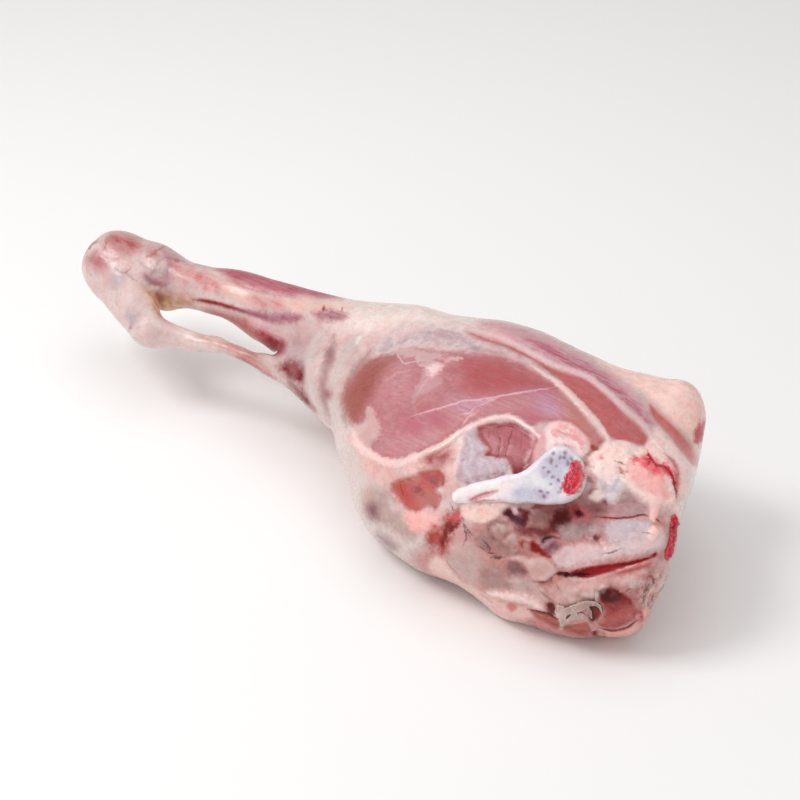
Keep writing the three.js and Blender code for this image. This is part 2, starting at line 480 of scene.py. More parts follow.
def paintLayers(views, layers):
    count = len(views["photo"][0])
    painted = {}
    for name, layer in layers.items():
        inside = np.full(count, -far)
        line = np.tile([far, far, 0.0], (count, 1))
        for view, (x, y, share) in views.items():
            for outline in layer.get(view + "Areas", []):
                inside = np.maximum(inside, insideDepth(x, y, outline) - far * (1 - share))
            for width, stroke in layer.get(view + "Strokes", []):
                offset, distance, along = alongStroke(x, y, stroke)
                distance = distance + far * (1 - share)
                closer = distance < line[:, 1]
                ends = np.minimum(along, 1 - along) / layer.get("taper", usual["taper"])
                taper = width * np.sqrt(np.clip(ends, usual["tip"], 1))
                line[closer] = np.stack([offset, distance, taper], 1)[closer]
        painted[name] = line if hasStrokes(layer) else inside
    return painted


def storePaint(piece, painted):
    for name, values in painted.items():
        kind, key = ("FLOAT_VECTOR", "vector") if values.ndim == 2 else ("FLOAT", "value")
        stored = piece.data.attributes.new(name, kind, "POINT")
        stored.data.foreach_set(key, values.astype(np.float32).ravel())


def coverage(values, edge):                 # 1 on what a layer covers, 0 off it
    if values.ndim == 2:
        return 1 - smooth(values[:, 1] - values[:, 2], -edge, edge)
    return smooth(values, -edge, edge)


def relief(painted, layers):                # metres out of the surface
    height = np.zeros(len(next(iter(painted.values()))))
    for name, layer in layers.items():
        if "lift" in layer:
            height += layer["lift"] / 1000 * coverage(painted[name], layer.get("edge", usual["edge"]))
    return height


def muscleShare(painted, layers, count):    # 1 on muscle, 0 on fat and skin
    share = np.zeros(count)
    for name, layer in layers.items():
        share += coverage(painted[name], layer["soft"]) * (layer.get("flesh", usual["flesh"]) - share)
    return share


noises = {                                  # scale, detail and roughness
    "broad": (42, 6, 0.6), "blotch": (120, 5, 0.62), "medium": (260, 4), "fine": (800, 3),
    "mottle": (70, 4),
    "fibre": (460, 4, 0.6, (0.07, 1.0, 1.0), (0, 0.1, 0.35)),       # with its stretch and turn
}

levels = {                                  # where each effect sets in and where it is full
    "shade": (0.38, 0.62), "blush": (0.48, 0.68), "layerShade": (0.40, 0.60), "flush": (0.44, 0.62),
    "vein": (0.002, 0.010), "veinPatch": (0.46, 0.56), "film": (0.56, 0.80),
    # the hollow and ridge levels: mm of depth where the painted shade in hollows and the painted highlight
    # on raised points come in
    "hollow": (0.04, 1.3), "ridgeHighlight": (-1.2, -0.1),                   # mm
    "wetPatch": (0.34, 0.54), "wetPale": (0.03, 0.16),
    "streaks": (0.40, 0.60), "pores": (0.26, 0.50),
    "strokeEnd": (2.5, 5.0),                                        # pixels off a stroke
}

amounts = {
    "blush": 0.7, "ridgeHighlight": 0.3, "flush": 0.4, "poreRagged": 0.2,
    "edgeBlotch": 2.4, "edgeMedium": 1.8, "edgeFine": 1.2,          # of each noise in a ragged edge
    "toneMottle": 0.45, "toneMedium": 0.25, "toneFine": 0.12,
    "roughMuscle": 0.05, "roughBlotch": 0.3,
    "bumpGrain": 0.6, "bumpMedium": 0.7, "bumpFine": 0.25, "bump": 0.65, "bumpDepth": 0.0014,
    "coatRoughness": 0.2,
}


def layerMask(start, name, layer, ragged, fibre):
    drawn = hasStrokes(layer)
    values = start.make("Attribute", {"attribute_name": name}, None, 1 if drawn else 2)
    soft = layer["soft"]
    if drawn:
        width = values.part((0, 0, 1))
        offset = values.part((1, 0, 0)) + ragged * layer["ragged"]
        mask = fade(abs(offset) - width, -soft, soft)
        mask = mask * fade(values.part((0, 1, 0)) - width, *levels["strokeEnd"])
    else:
        mask = rise(values + ragged * layer["ragged"], -soft, soft)
    if "streaks" in layer:                  # only on some of the fibres
        mask = mask * (1.0 - layer["streaks"] * fade(fibre, *levels["streaks"]))
    if "pores" in layer:                    # only in the middles of small cells
        cells = start.make("TexVoronoi", None, {"Vector": start, "Scale": layer["pores"]})
        mask = mask * fade(cells + ragged * amounts["poreRagged"], *levels["pores"])
    return mask * layer.get("strength", usual["strength"])


def meatMaterial(name, look, layers):
    material = bpy.data.materials.new(name)
    material.use_nodes = True
    tree = material.node_tree
    shader = tree.nodes["Principled BSDF"]
    start = Wire(tree, tree.nodes.new("ShaderNodeTexCoord").outputs["Object"])
    muscle = start.make("Attribute", {"attribute_name": "muscle"}, None, 2)
    hollow = start.make("Attribute", {"attribute_name": "hollow"}, None, 2)
    broad, blotch, medium, fine, mottle, fibre = (cloud(start, *settings) for settings in noises.values())
    ragged = ((blotch - 0.5) * amounts["edgeBlotch"] + (medium - 0.5) * amounts["edgeMedium"]
              + (fine - 0.5) * amounts["edgeFine"])
    colour = mix(rise(broad, *levels["shade"]), linear(look["colour"]), linear(look["shade"]))
    colour = mix(rise(blotch, *levels["blush"]) * amounts["blush"], colour, linear(look["blush"]))
    for key, layer in layers.items():
        paint = linear(layer["colour"])
        if "shade" in layer:
            paint = mix(rise(blotch, *levels["layerShade"]), paint, linear(layer["shade"]))
        colour = mix(layerMask(start, key, layer, ragged, fibre), colour, paint)
    veins = fade(abs(broad - 0.5), *levels["vein"]) * rise(blotch, *levels["veinPatch"]) * (1.0 - muscle)
    colour = mix(veins * look["veins"], colour, linear(look["veinColour"]))
    grain = muscle * (fibre - 0.5)
    colour = mix(muscle * rise(fibre, *levels["film"]) * look["film"], colour, linear(look["filmColour"]))
    # painted shade: the colour is darkened in hollows, the deeper the darker
    colour = stain(rise(hollow, *levels["hollow"]), colour, linear(look["hollow"]))
    # painted highlight: raised points are lightened
    colour = mix(fade(hollow, *levels["ridgeHighlight"]) * amounts["ridgeHighlight"], colour, linear(look["ridgeHighlight"]))
    colour = stain(rise(mottle, *levels["flush"]) * amounts["flush"], colour, linear(look["flush"]))
    uneven = (mottle - 0.5) * amounts["toneMottle"] + (medium - 0.5) * amounts["toneMedium"]
    light = 1.0 + grain * look["grain"] + uneven * (1.0 - muscle * 0.5) + (fine - 0.5) * amounts["toneFine"]
    colour = tone(colour, light)
    rough = look["roughness"] - muscle * amounts["roughMuscle"] + (blotch - 0.5) * amounts["roughBlotch"]
    height = (grain * amounts["bumpGrain"] + (medium - 0.5) * amounts["bumpMedium"]
              + (fine - 0.5) * amounts["bumpFine"])
    sockets = {"Strength": amounts["bump"], "Distance": amounts["bumpDepth"], "Height": height}
    bump = start.make("Bump", None, sockets)
    pale = colour.make("RGBToBW", None, {0: colour})
    wet = (1.0 - muscle * 0.5) * rise(blotch, *levels["wetPatch"]) * rise(pale, *levels["wetPale"])
    wet = wet * look["coat"]
    tree.links.new(colour.socket, shader.inputs["Base Color"])
    tree.links.new(rough.socket, shader.inputs["Roughness"])
    tree.links.new(bump.socket, shader.inputs["Normal"])
    tree.links.new(wet.socket, shader.inputs["Coat Weight"])
    shader.inputs["Specular IOR Level"].default_value = look["specular"]
    shader.inputs["Coat Roughness"].default_value = amounts["coatRoughness"]
    return material


def finishPiece(piece, painted, layers, look, node):  # its material, and the CAD node it stands for
    count = len(piece.data.vertices)
    painted["muscle"] = muscleShare(painted, layers, count)
    # how deep each point lies, which drives the painted shade in hollows and the painted highlight on
    # raised points
    if "hollow" not in painted:
        painted["hollow"] = hollows(places(piece), normals(piece), edges(piece))
    storePaint(piece, painted)
    piece.data.materials.append(meatMaterial(piece.name + "Finish", look, layers))
    piece.data.shade_smooth()
    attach(piece, "root")
    if node:
        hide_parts(node)
    triangles = sum(len(face.vertices) - 2 for face in piece.data.polygons)
    print(piece.name + ":", count, "points,", triangles, "triangles")


# The meat

legMesh = {
    "voxel": 0.0034, "rounding": 2, "swell": 0.0008, "relax": 4,
    "socket": 0.0018, "socketEdge": 1.5,            # m that the meat dips under a bone, and pixels round it
    "socketMargin": 0.010, "socketReach": (0.0012, 0.0035),         # m from the bone
    "lumps": [(0.026, 0.0005), (0.01, 0.0002)],        # size and height, m
    "lobules": [(0.019, 0.002), (0.008, 0.001)],
    "roughEdge": (-10, 8),                  # pixels outside and inside an outline, where the lobes come in
    "rough": [                              # how lobed the fat is in places
        (0.55, [(484, 510), (530, 526), (560, 530), (566, 548), (548, 562), (520, 558), (498, 548),
                (480, 528)]),
        (0.8, [(588, 446), (612, 441), (634, 448), (640, 466), (622, 502), (598, 502), (586, 470)]),
        (0.45, [(626, 450), (656, 446), (678, 466), (680, 506), (650, 512), (624, 500)]),
        (0.6, [(484, 556), (520, 560), (560, 578), (600, 584), (640, 576), (606, 592), (590, 606),
               (556, 606), (520, 588)]),
        (1.0, [(632, 580), (664, 568), (664, 604), (642, 612), (634, 600)]),
        (0.5, [(452, 508), (480, 508), (484, 530), (462, 544), (430, 552), (424, 536)]),
        (0.35, [(556, 530), (600, 520), (656, 518), (660, 548), (600, 566), (560, 566)])],
    "aitchShown": [
        (440, 480), (500, 462), (540, 436), (590, 436), (604, 470), (592, 512), (520, 520),
        (440, 516)],
    "rumpShown": [
        (671, 516), (676, 514), (680, 522), (683, 532), (684, 540), (682, 548), (680, 556), (674, 567),
        (666, 564), (664, 552), (667, 545), (669, 534), (670, 524)],
    "nudges": [                             # reach, then where it is held and how far it moves, in pixels
        (8, [((505, 476), (0, 1)), ((517, 471), (0, 4)), ((527, 465), (0, 4)), ((538, 459), (0, 0)),
             ((547, 453), (0, -3)), ((557, 450), (0, -5)), ((568, 452), (0, -5)), ((578, 458), (1, -4)),
             ((584, 470), (2, -1)), ((584, 486), (1, -1)), ((572, 502), (0, -3)), ((560, 506), (0, -3)),
             ((540, 503), (0, 1)), ((518, 500), (0, 4)), ((494, 500), (0, 4)), ((476, 501), (0, 3)),
             ((462, 502), (0, 2)), ((490, 483), (0, -2)), ((475, 489), (0, -3)), ((462, 493), (0, -2))]),
        (8, [((166, 305), (-2, 7)), ((178, 304), (0, 5)), ((192, 307), (0, 1)), ((212, 318), (0, -4)),
             ((224, 324), (0, -6)), ((236, 327), (0, -2)), ((248, 329), (0, 5)), ((256, 332), (0, 8)),
             ((264, 336), (0, 9)), ((272, 340), (0, 12)), ((278, 344), (-3, 9)), ((168, 316), (-2, 4)),
             ((192, 331), (0, -1)), ((212, 338), (0, -3)), ((228, 343), (0, -2)), ((244, 347), (0, 1)),
             ((256, 349), (0, 4)), ((266, 349), (0, 4))]),
        (11, [((168, 345), (0, 2)), ((184, 346), (0, 3)), ((200, 349), (0, 2)), ((216, 355), (0, -2)),
              ((230, 362), (0, -7)), ((244, 370), (0, -10)), ((256, 375), (0, -7)),
              ((268, 382), (0, -7)), ((282, 392), (0, -9)), ((296, 401), (0, -7)),
              ((310, 411), (0, -2)), ((180, 251), (0, 4)), ((192, 258), (0, 4)), ((206, 264), (0, 1))]),
        (15, [((87, 245), (2, 3)), ((112, 232), (0, -2)), ((128, 237), (0, -5)), ((146, 243), (0, -5)),
              ((96, 290), (0, 5)), ((106, 300), (0, 6)), ((118, 316), (0, 5)), ((138, 343), (0, 0)),
              ((262, 280), (0, -4)), ((284, 285), (0, -3)), ((310, 289), (0, 0)), ((336, 293), (0, 3)),
              ((362, 296), (0, 5)), ((384, 299), (0, 4)), ((404, 306), (0, -2)), ((422, 310), (0, -5)),
              ((440, 313), (0, -1)), ((470, 317), (0, 0)), ((505, 324), (0, -3)), ((535, 332), (0, -3)),
              ((580, 347), (0, 3)), ((604, 357), (0, 4)), ((628, 364), (0, 6)), ((652, 370), (0, 6)),
              ((670, 376), (0, 3)), ((684, 385), (0, -5)), ((697, 398), (2, -7)), ((706, 440), (-4, 0)),
              ((695, 488), (-4, 0)), ((688, 508), (-6, 0)), ((682, 528), (-5, 0)), ((678, 548), (0, 0)),
              ((656, 608), (-6, 0)), ((628, 631), (2, 4)), ((580, 634), (0, 4)), ((552, 629), (0, 4)),
              ((528, 623), (0, 1)), ((504, 615), (0, 3)), ((480, 606), (0, -6)), ((462, 597), (0, -11)),
              ((444, 587), (0, -9)), ((430, 579), (0, -4)), ((396, 555), (0, 0)), ((370, 530), (0, 3)),
              ((350, 501), (4, 0)), ((343, 486), (7, 0)), ((339, 468), (6, 0)),
              ((336, 442), (-1, 0))])],
}

legSkin = {
    "colour": (221, 196, 193), "shade": (212, 183, 179), "blush": (209, 167, 164), "roughness": 0.4,
    "coat": 0.8, "specular": 0.16, "grain": 0.3, "film": 0.22, "filmColour": (226, 184, 184),
    # the hollow colour is laid into hollows as painted shade, the ridge colour over raised points as
    # painted highlight
    "hollow": (196, 140, 138), "ridgeHighlight": (248, 236, 230), "veins": 0.18, "veinColour": (196, 124, 126),
    "flush": (248, 218, 216),
}

legSculpt = {                               # lift in mm, edge in pixels
    "socketHollow": {"lift": -3, "edge": 12, "photoAreas": [
        [(498, 509), (530, 508), (560, 507), (592, 501), (606, 510), (596, 524), (570, 532), (540, 532),
         (512, 528)]]},
    "pinkLump": {"lift": 2.5, "edge": 12, "photoAreas": [
        [(627, 470), (645, 462), (660, 470), (668, 485), (668, 503), (650, 507), (632, 498),
         (622, 484)]]},
    "creamLump": {"lift": 2, "edge": 9, "photoAreas": [
        [(592, 452), (606, 445), (624, 447), (630, 460), (618, 473), (600, 472), (590, 463)]]},
    "underLump": {"lift": 1.6, "edge": 9, "photoAreas": [
        [(560, 588), (590, 582), (620, 577), (642, 572), (638, 585), (612, 588), (598, 596), (576, 601),
         (560, 597)]]},
    "smoothFat": {"lift": 2, "edge": 14, "photoAreas": [
        [(452, 542), (470, 534), (482, 546), (486, 570), (476, 584), (458, 576), (447, 560)]]},
    "creases": {"lift": -1.1, "edge": 5, "photoStrokes": [
        (1.5, [(535, 582), (545, 582), (557, 573)]), (1.2, [(486, 526), (500, 543), (516, 548)]),
        (1.2, [(586, 474), (592, 484), (590, 494)]),
        (1.2, [(622, 470), (626, 484), (632, 500), (646, 508)]),
        (1.5, [(592, 446), (586, 458), (590, 474)])]},
    "bloodChannel": {"lift": -1.2, "edge": 5, "photoStrokes": [
        (2, [(648, 450), (652, 461), (664, 466), (672, 476), (676, 490), (677, 504)])]},
    "ankleKnob": {"lift": 0.5, "edge": 6, "photoAreas": [
        [(150, 264), (156, 259), (162, 263), (162, 273), (154, 275), (149, 270)]]},
    "ankleGroove": {"lift": -1, "edge": 5, "photoStrokes": [
        (1.5, [(163, 249), (168, 258), (168, 270), (164, 281), (152, 283), (146, 276)])]},
    "hockEnd": {"lift": 0.8, "edge": 7, "photoAreas": [
        [(104, 238), (112, 234), (124, 236), (126, 246), (114, 252), (105, 248)]]},
    "hockGroove": {"lift": -0.9, "edge": 6, "photoStrokes": [
        (1.5, [(98, 240), (103, 250), (112, 256), (124, 257), (136, 251)]),
        (1.2, [(120, 262), (128, 272), (142, 282)])]},
    "heelHollow": {"lift": -0.8, "edge": 4, "photoAreas": [
        [(149, 291), (160, 292), (172, 297), (166, 302), (156, 302)]]},
    "shinGrooves": {"lift": -1.4, "edge": 3, "photoStrokes": [
        (1, [(206, 272), (230, 281), (262, 292), (300, 298)]),
        (1.2, [(196, 300), (218, 304), (240, 311), (266, 319)])]},
    "calfBands": {"lift": 0.9, "edge": 5, "photoStrokes": [
        (3, [(318, 335), (311, 351), (309, 371), (313, 395), (326, 416)]),
        (4, [(358, 336), (345, 354), (337, 374), (334, 396), (338, 424)])]},
    "kneeCap": {"lift": 1.5, "edge": 10, "photoAreas": [
        [(362, 310), (400, 309), (440, 318), (430, 326), (395, 325), (366, 324)]]},
}

# Each layer lies over those before it. Areas and strokes are drawn in pixels of the photo, or in mm in
# the views named rump, under and back, and a stroke starts with its half width. soft and ragged say how
# wide and how uneven an edge is, lift how far it stands out in mm, edge how wide that step is, and flesh
# that it is muscle.
legLayers = {
    "backFascia": {"colour": (222, 186, 186), "shade": (210, 168, 170), "soft": 16, "ragged": 12,
        "flesh": 1, "backAreas": [
        [(30, 88), (80, 116), (150, 132), (215, 128), (246, 104), (226, 74), (170, 54), (110, 50),
         (60, 62)],
        [(-300, 104), (-220, 98), (-120, 94), (-60, 96), (-120, 80), (-220, 78), (-300, 84)]],
        "underAreas": [
        [(0, 10), (60, 50), (150, 70), (230, 60), (270, 10), (230, -50), (140, -70), (60, -45)]]},
    "backMuscle": {"colour": (194, 128, 134), "shade": (178, 106, 114), "soft": 9, "ragged": 9,
        "flesh": 1, "backAreas": [
        [(64, 90), (110, 112), (160, 120), (200, 112), (216, 96), (190, 80), (140, 70), (90, 70)],
        [(100, 34), (150, 38), (220, 44), (290, 56), (306, 44), (260, 22), (190, 10), (120, 14)],
        [(-270, 98), (-210, 94), (-130, 92), (-150, 84), (-220, 83), (-275, 88)]],
        "underAreas": [
        [(30, 10), (80, 36), (150, 46), (210, 30), (240, 0), (200, -34), (130, -46), (70, -26)],
        [(-40, 60), (20, 84), (90, 100), (60, 106), (0, 98), (-40, 76)]]},
    "backFat": {"colour": (242, 218, 208), "shade": (236, 204, 195), "soft": 8, "ragged": 9,
        "backAreas": [
        [(236, 150), (290, 134), (330, 104), (344, 70), (318, 56), (286, 78), (262, 104), (236, 128)],
        [(-60, 104), (-10, 112), (30, 104), (50, 84), (30, 66), (-20, 62), (-70, 74), (-90, 92)]],
        "underAreas": [[(250, 60), (300, 40), (330, 0), (300, -50), (250, -80), (270, -20)]]},
    "backSeams": {"colour": (240, 226, 220), "soft": 3, "ragged": 3, "lift": 0.5, "edge": 4,
        "backStrokes": [
        (4, [(10, 78), (60, 54), (130, 46), (210, 54), (300, 66)]),
        (3, [(20, 96), (80, 122), (140, 138), (190, 140)]), (3, [(222, 96), (250, 82), (290, 68)]),
        (2, [(-290, 92), (-200, 90), (-110, 92), (-50, 96)]),
        (2.5, [(60, 80), (120, 88), (180, 94), (226, 92)])],
        "underStrokes": [
        (4, [(-20, 20), (60, -10), (140, -14), (230, 0), (290, 20)]),
        (3, [(0, 60), (80, 66), (160, 78), (230, 84)])]},
    "rumpFat": {"colour": (236, 208, 198), "shade": (226, 190, 180), "soft": 5, "ragged": 5,
        "rumpAreas": [
        [(-60, 20), (-30, 4), (40, 2), (100, 20), (128, 60), (110, 100), (60, 120), (10, 118),
         (-40, 90), (-66, 50)]]},
    "rumpMuscle": {"colour": (170, 88, 86), "shade": (152, 70, 70), "soft": 3, "ragged": 5, "flesh": 1,
        "lift": -1.2, "edge": 4, "rumpAreas": [
        [(-38, 34), (-14, 20), (18, 22), (30, 42), (12, 60), (-20, 62), (-40, 50)],
        [(40, 26), (72, 22), (98, 40), (104, 64), (84, 76), (58, 66), (42, 48)],
        [(6, 74), (34, 66), (60, 80), (84, 88), (70, 102), (36, 104), (10, 94)]]},
    "rumpMarbling": {"colour": (206, 140, 136), "soft": 1.5, "ragged": 3, "rumpStrokes": [
        (1.0, [(-30, 44), (-8, 40), (20, 44)]), (0.8, [(-16, 28), (-6, 44), (-12, 58)]),
        (1.0, [(54, 36), (74, 50), (94, 60)]), (0.8, [(70, 28), (66, 48), (72, 66)]),
        (0.9, [(18, 84), (42, 84), (68, 92)])]},
    "leftFascia": {"colour": (223, 206, 201), "shade": (215, 196, 192), "soft": 14, "ragged": 5,
        "photoAreas": [
        [(330, 404), (344, 420), (354, 446), (362, 470), (372, 486), (392, 500), (408, 522), (428, 546),
         (440, 566), (420, 584), (384, 560), (352, 520), (330, 460)]]},
    "beigeFat": {"colour": (202, 140, 135), "shade": (185, 118, 115), "soft": 12, "ragged": 4,
        "photoAreas": [
        [(412, 562), (436, 542), (466, 528), (505, 512), (545, 512), (600, 505), (664, 520), (664, 560),
         (658, 604), (636, 645), (590, 650), (530, 636), (490, 621), (450, 598)]]},
    "kneeFat": {"colour": (240, 222, 216), "shade": (235, 215, 208), "soft": 12.8, "ragged": 3,
        "photoAreas": [
        [(330, 296), (350, 292), (400, 294), (450, 304), (484, 318), (470, 331), (440, 329), (410, 326),
         (380, 332), (352, 330), (330, 318)]]},
    "hockPink": {"colour": (179, 95, 97), "shade": (171, 84, 88), "soft": 8.3, "ragged": 4,
        "strength": 0.85, "photoAreas": [
        [(104, 238), (112, 233), (126, 234), (138, 240), (141, 250), (128, 254), (112, 254), (105, 247)],
        [(88, 256), (97, 252), (106, 259), (107, 268), (98, 271), (88, 264)],
        [(146, 250), (156, 248), (162, 254), (152, 258)]]},
    "hockRed": {"colour": (165, 63, 67), "soft": 1.6, "ragged": 3, "photoStrokes": [
        (2.6, [(106, 245), (109, 239), (115, 238), (120, 243)]),
        (1.4, [(123, 240), (128, 243), (131, 247)]), (1.2, [(131, 243), (135, 246)]),
        (1.8, [(88, 250), (91, 245), (96, 241)]), (0.7, [(118, 271), (124, 273), (128, 270)]),
        (0.9, [(149, 256), (156, 252), (162, 247)]), (0.8, [(172, 258), (181, 261)]),
        (1.2, [(129, 330), (132, 326), (131, 318)])]},
    "coolHock": {"colour": (185, 163, 169), "soft": 6.8, "ragged": 3, "photoAreas": [
        [(111, 277), (118, 273), (125, 277), (122, 285), (114, 286)],
        [(128, 316), (136, 312), (138, 320), (131, 328)]]},
    # painted shade round the ankle knob, over the skin's own purple tint
    "anklePurpleShade": {"colour": (186, 140, 149), "shade": (167, 119, 129), "soft": 6.8, "ragged": 4,
        "photoAreas": [
        [(164, 249), (170, 250), (175, 262), (174, 274), (170, 284), (160, 287), (149, 282), (147, 274),
         (154, 279), (163, 277), (166, 266), (163, 258)]]},
    "anklePale": {"colour": (180, 157, 155), "soft": 5.3, "ragged": 2, "photoAreas": [
        [(150, 264), (156, 259), (162, 263), (162, 273), (154, 275), (149, 270)]]},
    # dark strokes along the hock's creases: painted shade
    "hockCreaseShade": {"colour": (146, 90, 96), "soft": 2.2, "ragged": 2.5, "strength": 0.5,
        "photoStrokes": [
        (1.2, [(150, 279), (153, 271), (158, 263), (163, 258)]),
        (1.3, [(149, 281), (156, 285), (167, 284)]), (1.0, [(168, 257), (174, 259), (181, 262)]),
        (0.9, [(126, 272), (130, 276), (134, 279)]), (0.8, [(140, 262), (147, 268)])]},
    "tanCrevice": {"colour": (236, 194, 163), "shade": (205, 159, 122), "soft": 6.8, "ragged": 2,
        "photoAreas": [
        [(144, 289), (154, 292), (174, 297), (192, 303), (184, 309), (170, 313), (160, 315), (151, 308),
         (146, 298)]]},
    "shinPink": {"colour": (211, 129, 126), "shade": (199, 113, 113), "soft": 8.3, "streaks": 0.45,
        "ragged": 5, "flesh": 1, "photoAreas": [
        [(174, 264), (186, 267), (200, 272), (214, 279), (227, 287), (220, 293), (206, 288), (192, 282),
         (178, 275)],
        [(248, 294), (264, 297), (286, 303), (284, 309), (266, 308), (250, 302)]]},
    "shinCream": {"colour": (229, 189, 172), "soft": 8.3, "streaks": 0.5, "ragged": 3, "photoAreas": [
        [(226, 284), (240, 288), (250, 296), (244, 302), (230, 297)],
        [(286, 299), (310, 299), (336, 302), (354, 306), (336, 311), (310, 310), (290, 309)]]},
    "shinStrip": {"colour": (179, 66, 92), "shade": (169, 60, 86), "soft": 4.5, "streaks": 0.2,
        "ragged": 1.5, "flesh": 1, "photoAreas": [
        [(208, 262), (232, 266), (254, 271), (294, 279), (320, 286), (344, 297), (326, 298), (310, 296),
         (286, 295), (262, 290), (242, 285), (226, 276)]]},
    "shinGroove": {"colour": (149, 26, 25), "soft": 2.4, "ragged": 1.5, "photoStrokes": [
        (2.5, [(196, 300), (208, 302), (218, 304), (228, 307), (240, 311)])]},
    "shinMarks": {"colour": (142, 36, 40), "soft": 1.2, "ragged": 1.2, "photoAreas": [
        [(322, 310), (324, 305), (325, 309), (323, 312)],
        [(341, 309), (342, 307), (343, 309), (342, 311)]]},
    "shinGrey": {"colour": (155, 89, 110), "soft": 2, "streaks": 0.5, "ragged": 2, "photoStrokes": [
        (2.8, [(234, 309), (246, 312), (258, 316), (268, 321)])]},
    "shinPurple": {"colour": (166, 94, 112), "shade": (154, 80, 98), "soft": 4.2, "streaks": 0.25,
        "ragged": 3, "flesh": 1, "photoAreas": [
        [(242, 311), (258, 311), (276, 313), (292, 313), (302, 316), (298, 321), (284, 324), (268, 322),
         (254, 316)],
        [(311, 312), (322, 311), (334, 310), (347, 313), (345, 319), (332, 321), (320, 320)]]},
    "shinLow": {"colour": (195, 93, 87), "shade": (171, 69, 69), "soft": 5.3, "streaks": 0.2,
        "ragged": 2, "flesh": 1, "photoAreas": [
        [(204, 309), (222, 313), (240, 318), (256, 324), (270, 330), (282, 338), (287, 346), (284, 355),
         (274, 358), (266, 350), (252, 339), (238, 328), (226, 322), (212, 316)]]},
    # red flesh in the gap behind the shin, darkened as painted shade
    "gapShade": {"colour": (148, 38, 48), "soft": 4, "ragged": 2, "flesh": 1, "photoAreas": [
        [(260, 338), (272, 335), (284, 341), (286, 351), (277, 358), (267, 351)]]},
    "gapBlood": {"colour": (172, 4, 20), "soft": 1.8, "ragged": 2, "photoAreas": [
        [(255, 332), (260, 326), (267, 328), (269, 335), (265, 340), (258, 339)]]},
    "shinWhite": {"colour": (236, 190, 197), "soft": 5.3, "streaks": 0.5, "ragged": 3, "photoAreas": [
        [(250, 319), (264, 322), (278, 330), (286, 339), (278, 338), (264, 331), (252, 326)]]},
    "tendonPink": {"colour": (189, 98, 76), "shade": (179, 84, 66), "soft": 6.8, "streaks": 0.4,
        "ragged": 3, "photoAreas": [
        [(198, 336), (214, 338), (228, 342), (242, 348), (254, 354), (266, 362), (270, 372), (256, 366),
         (244, 360), (230, 352), (212, 345)]]},
    "tendonRed": {"colour": (181, 88, 96), "soft": 1.6, "ragged": 2.5, "photoStrokes": [
        (1.2, [(234, 346), (241, 350)]), (1.0, [(249, 353), (257, 357)]),
        (1.6, [(232, 355), (246, 361), (260, 369), (274, 378)])]},
    "tendonWhite": {"colour": (198, 176, 171), "soft": 6.8, "streaks": 0.5, "ragged": 2, "photoAreas": [
        [(258, 355), (270, 355), (282, 356), (287, 365), (276, 369), (264, 364)]]},
    "calfSheen": {"colour": (194, 167, 169), "soft": 9.8, "ragged": 3, "photoAreas": [
        [(288, 346), (300, 338), (313, 339), (310, 352), (304, 366), (292, 363), (284, 357)]]},
    "calfRed": {"colour": (133, 25, 36), "shade": (120, 19, 29), "soft": 6.8, "ragged": 4, "flesh": 1,
        "photoAreas": [
        [(279, 367), (290, 360), (300, 363), (306, 372), (304, 384), (294, 382), (284, 375)],
        [(288, 382), (300, 387), (309, 396), (316, 410), (306, 406), (296, 396)]]},
    "calfPurple": {"colour": (179, 149, 148), "shade": (174, 143, 143), "soft": 4, "ragged": 3,
        "flesh": 1, "photoStrokes": [
        (4.5, [(334, 338), (330, 357), (324, 375), (322, 395), (330, 421)]),
        (3.0, [(372, 350), (358, 366), (349, 384), (345, 404), (345, 424)])]},
    "calfBand": {"colour": (209, 190, 186), "soft": 4, "ragged": 1, "photoStrokes": [
        (3.5, [(320, 330), (312, 349), (309, 371), (313, 395), (326, 416)]),
        (4.0, [(362, 332), (346, 353), (337, 374), (334, 396), (338, 424)])]},
    "calfSpots": {"colour": (157, 104, 107), "soft": 5.3, "ragged": 3, "photoAreas": [
        [(327, 350), (333, 352), (331, 362), (326, 360)],
        [(324, 390), (331, 392), (330, 398), (324, 398)], [(290, 366), (297, 369), (294, 376)]]},
    "leftGrey": {"colour": (194, 166, 156), "shade": (184, 152, 146), "soft": 6.8, "ragged": 3,
        "photoAreas": [
        [(361, 494), (370, 486), (382, 488), (391, 497), (390, 508), (398, 513), (410, 522), (418, 534),
         (408, 540), (392, 530), (376, 523), (366, 513)]]},
    "leftPurple": {"colour": (116, 28, 53), "soft": 8.3, "ragged": 2.5, "photoAreas": [
        [(366, 507), (371, 503), (377, 508), (377, 517), (370, 518)],
        [(378, 535), (388, 540), (396, 548), (388, 547)]]},
    "blueFascia": {"colour": (218, 201, 203), "shade": (198, 175, 181), "soft": 9.8, "streaks": 0.6,
        "ragged": 4, "photoAreas": [
        [(376, 346), (388, 337), (404, 331), (425, 328), (455, 330), (470, 337), (500, 349), (535, 361),
         (520, 363), (495, 356), (470, 352), (440, 348), (415, 347), (398, 351), (385, 355)]]},
    "fasciaStreaks": {"colour": (185, 157, 162), "soft": 2, "ragged": 3, "strength": 0.8,
        "photoStrokes": [
        (2.0, [(422, 333), (438, 334), (452, 337), (468, 342)]),
        (1.3, [(438, 330), (452, 332), (464, 336)]), (1.2, [(396, 345), (408, 339), (422, 338)]),
        (1.3, [(468, 346), (488, 352), (508, 357)]), (1.0, [(384, 350), (394, 345)])]},
    "topside": {"colour": (194, 131, 136), "shade": (184, 117, 121), "soft": 3.2, "ragged": 1.5,
        "flesh": 1, "lift": -0.6, "photoAreas": [
        [(371, 359), (395, 353), (417, 348), (437, 350), (460, 352), (480, 354), (500, 357), (521, 364),
         (542, 376), (556, 384), (566, 396), (578, 408), (588, 420), (597, 430), (604, 442), (596, 452),
         (588, 442), (575, 427), (545, 421), (530, 426), (515, 417), (500, 414), (485, 417), (470, 424),
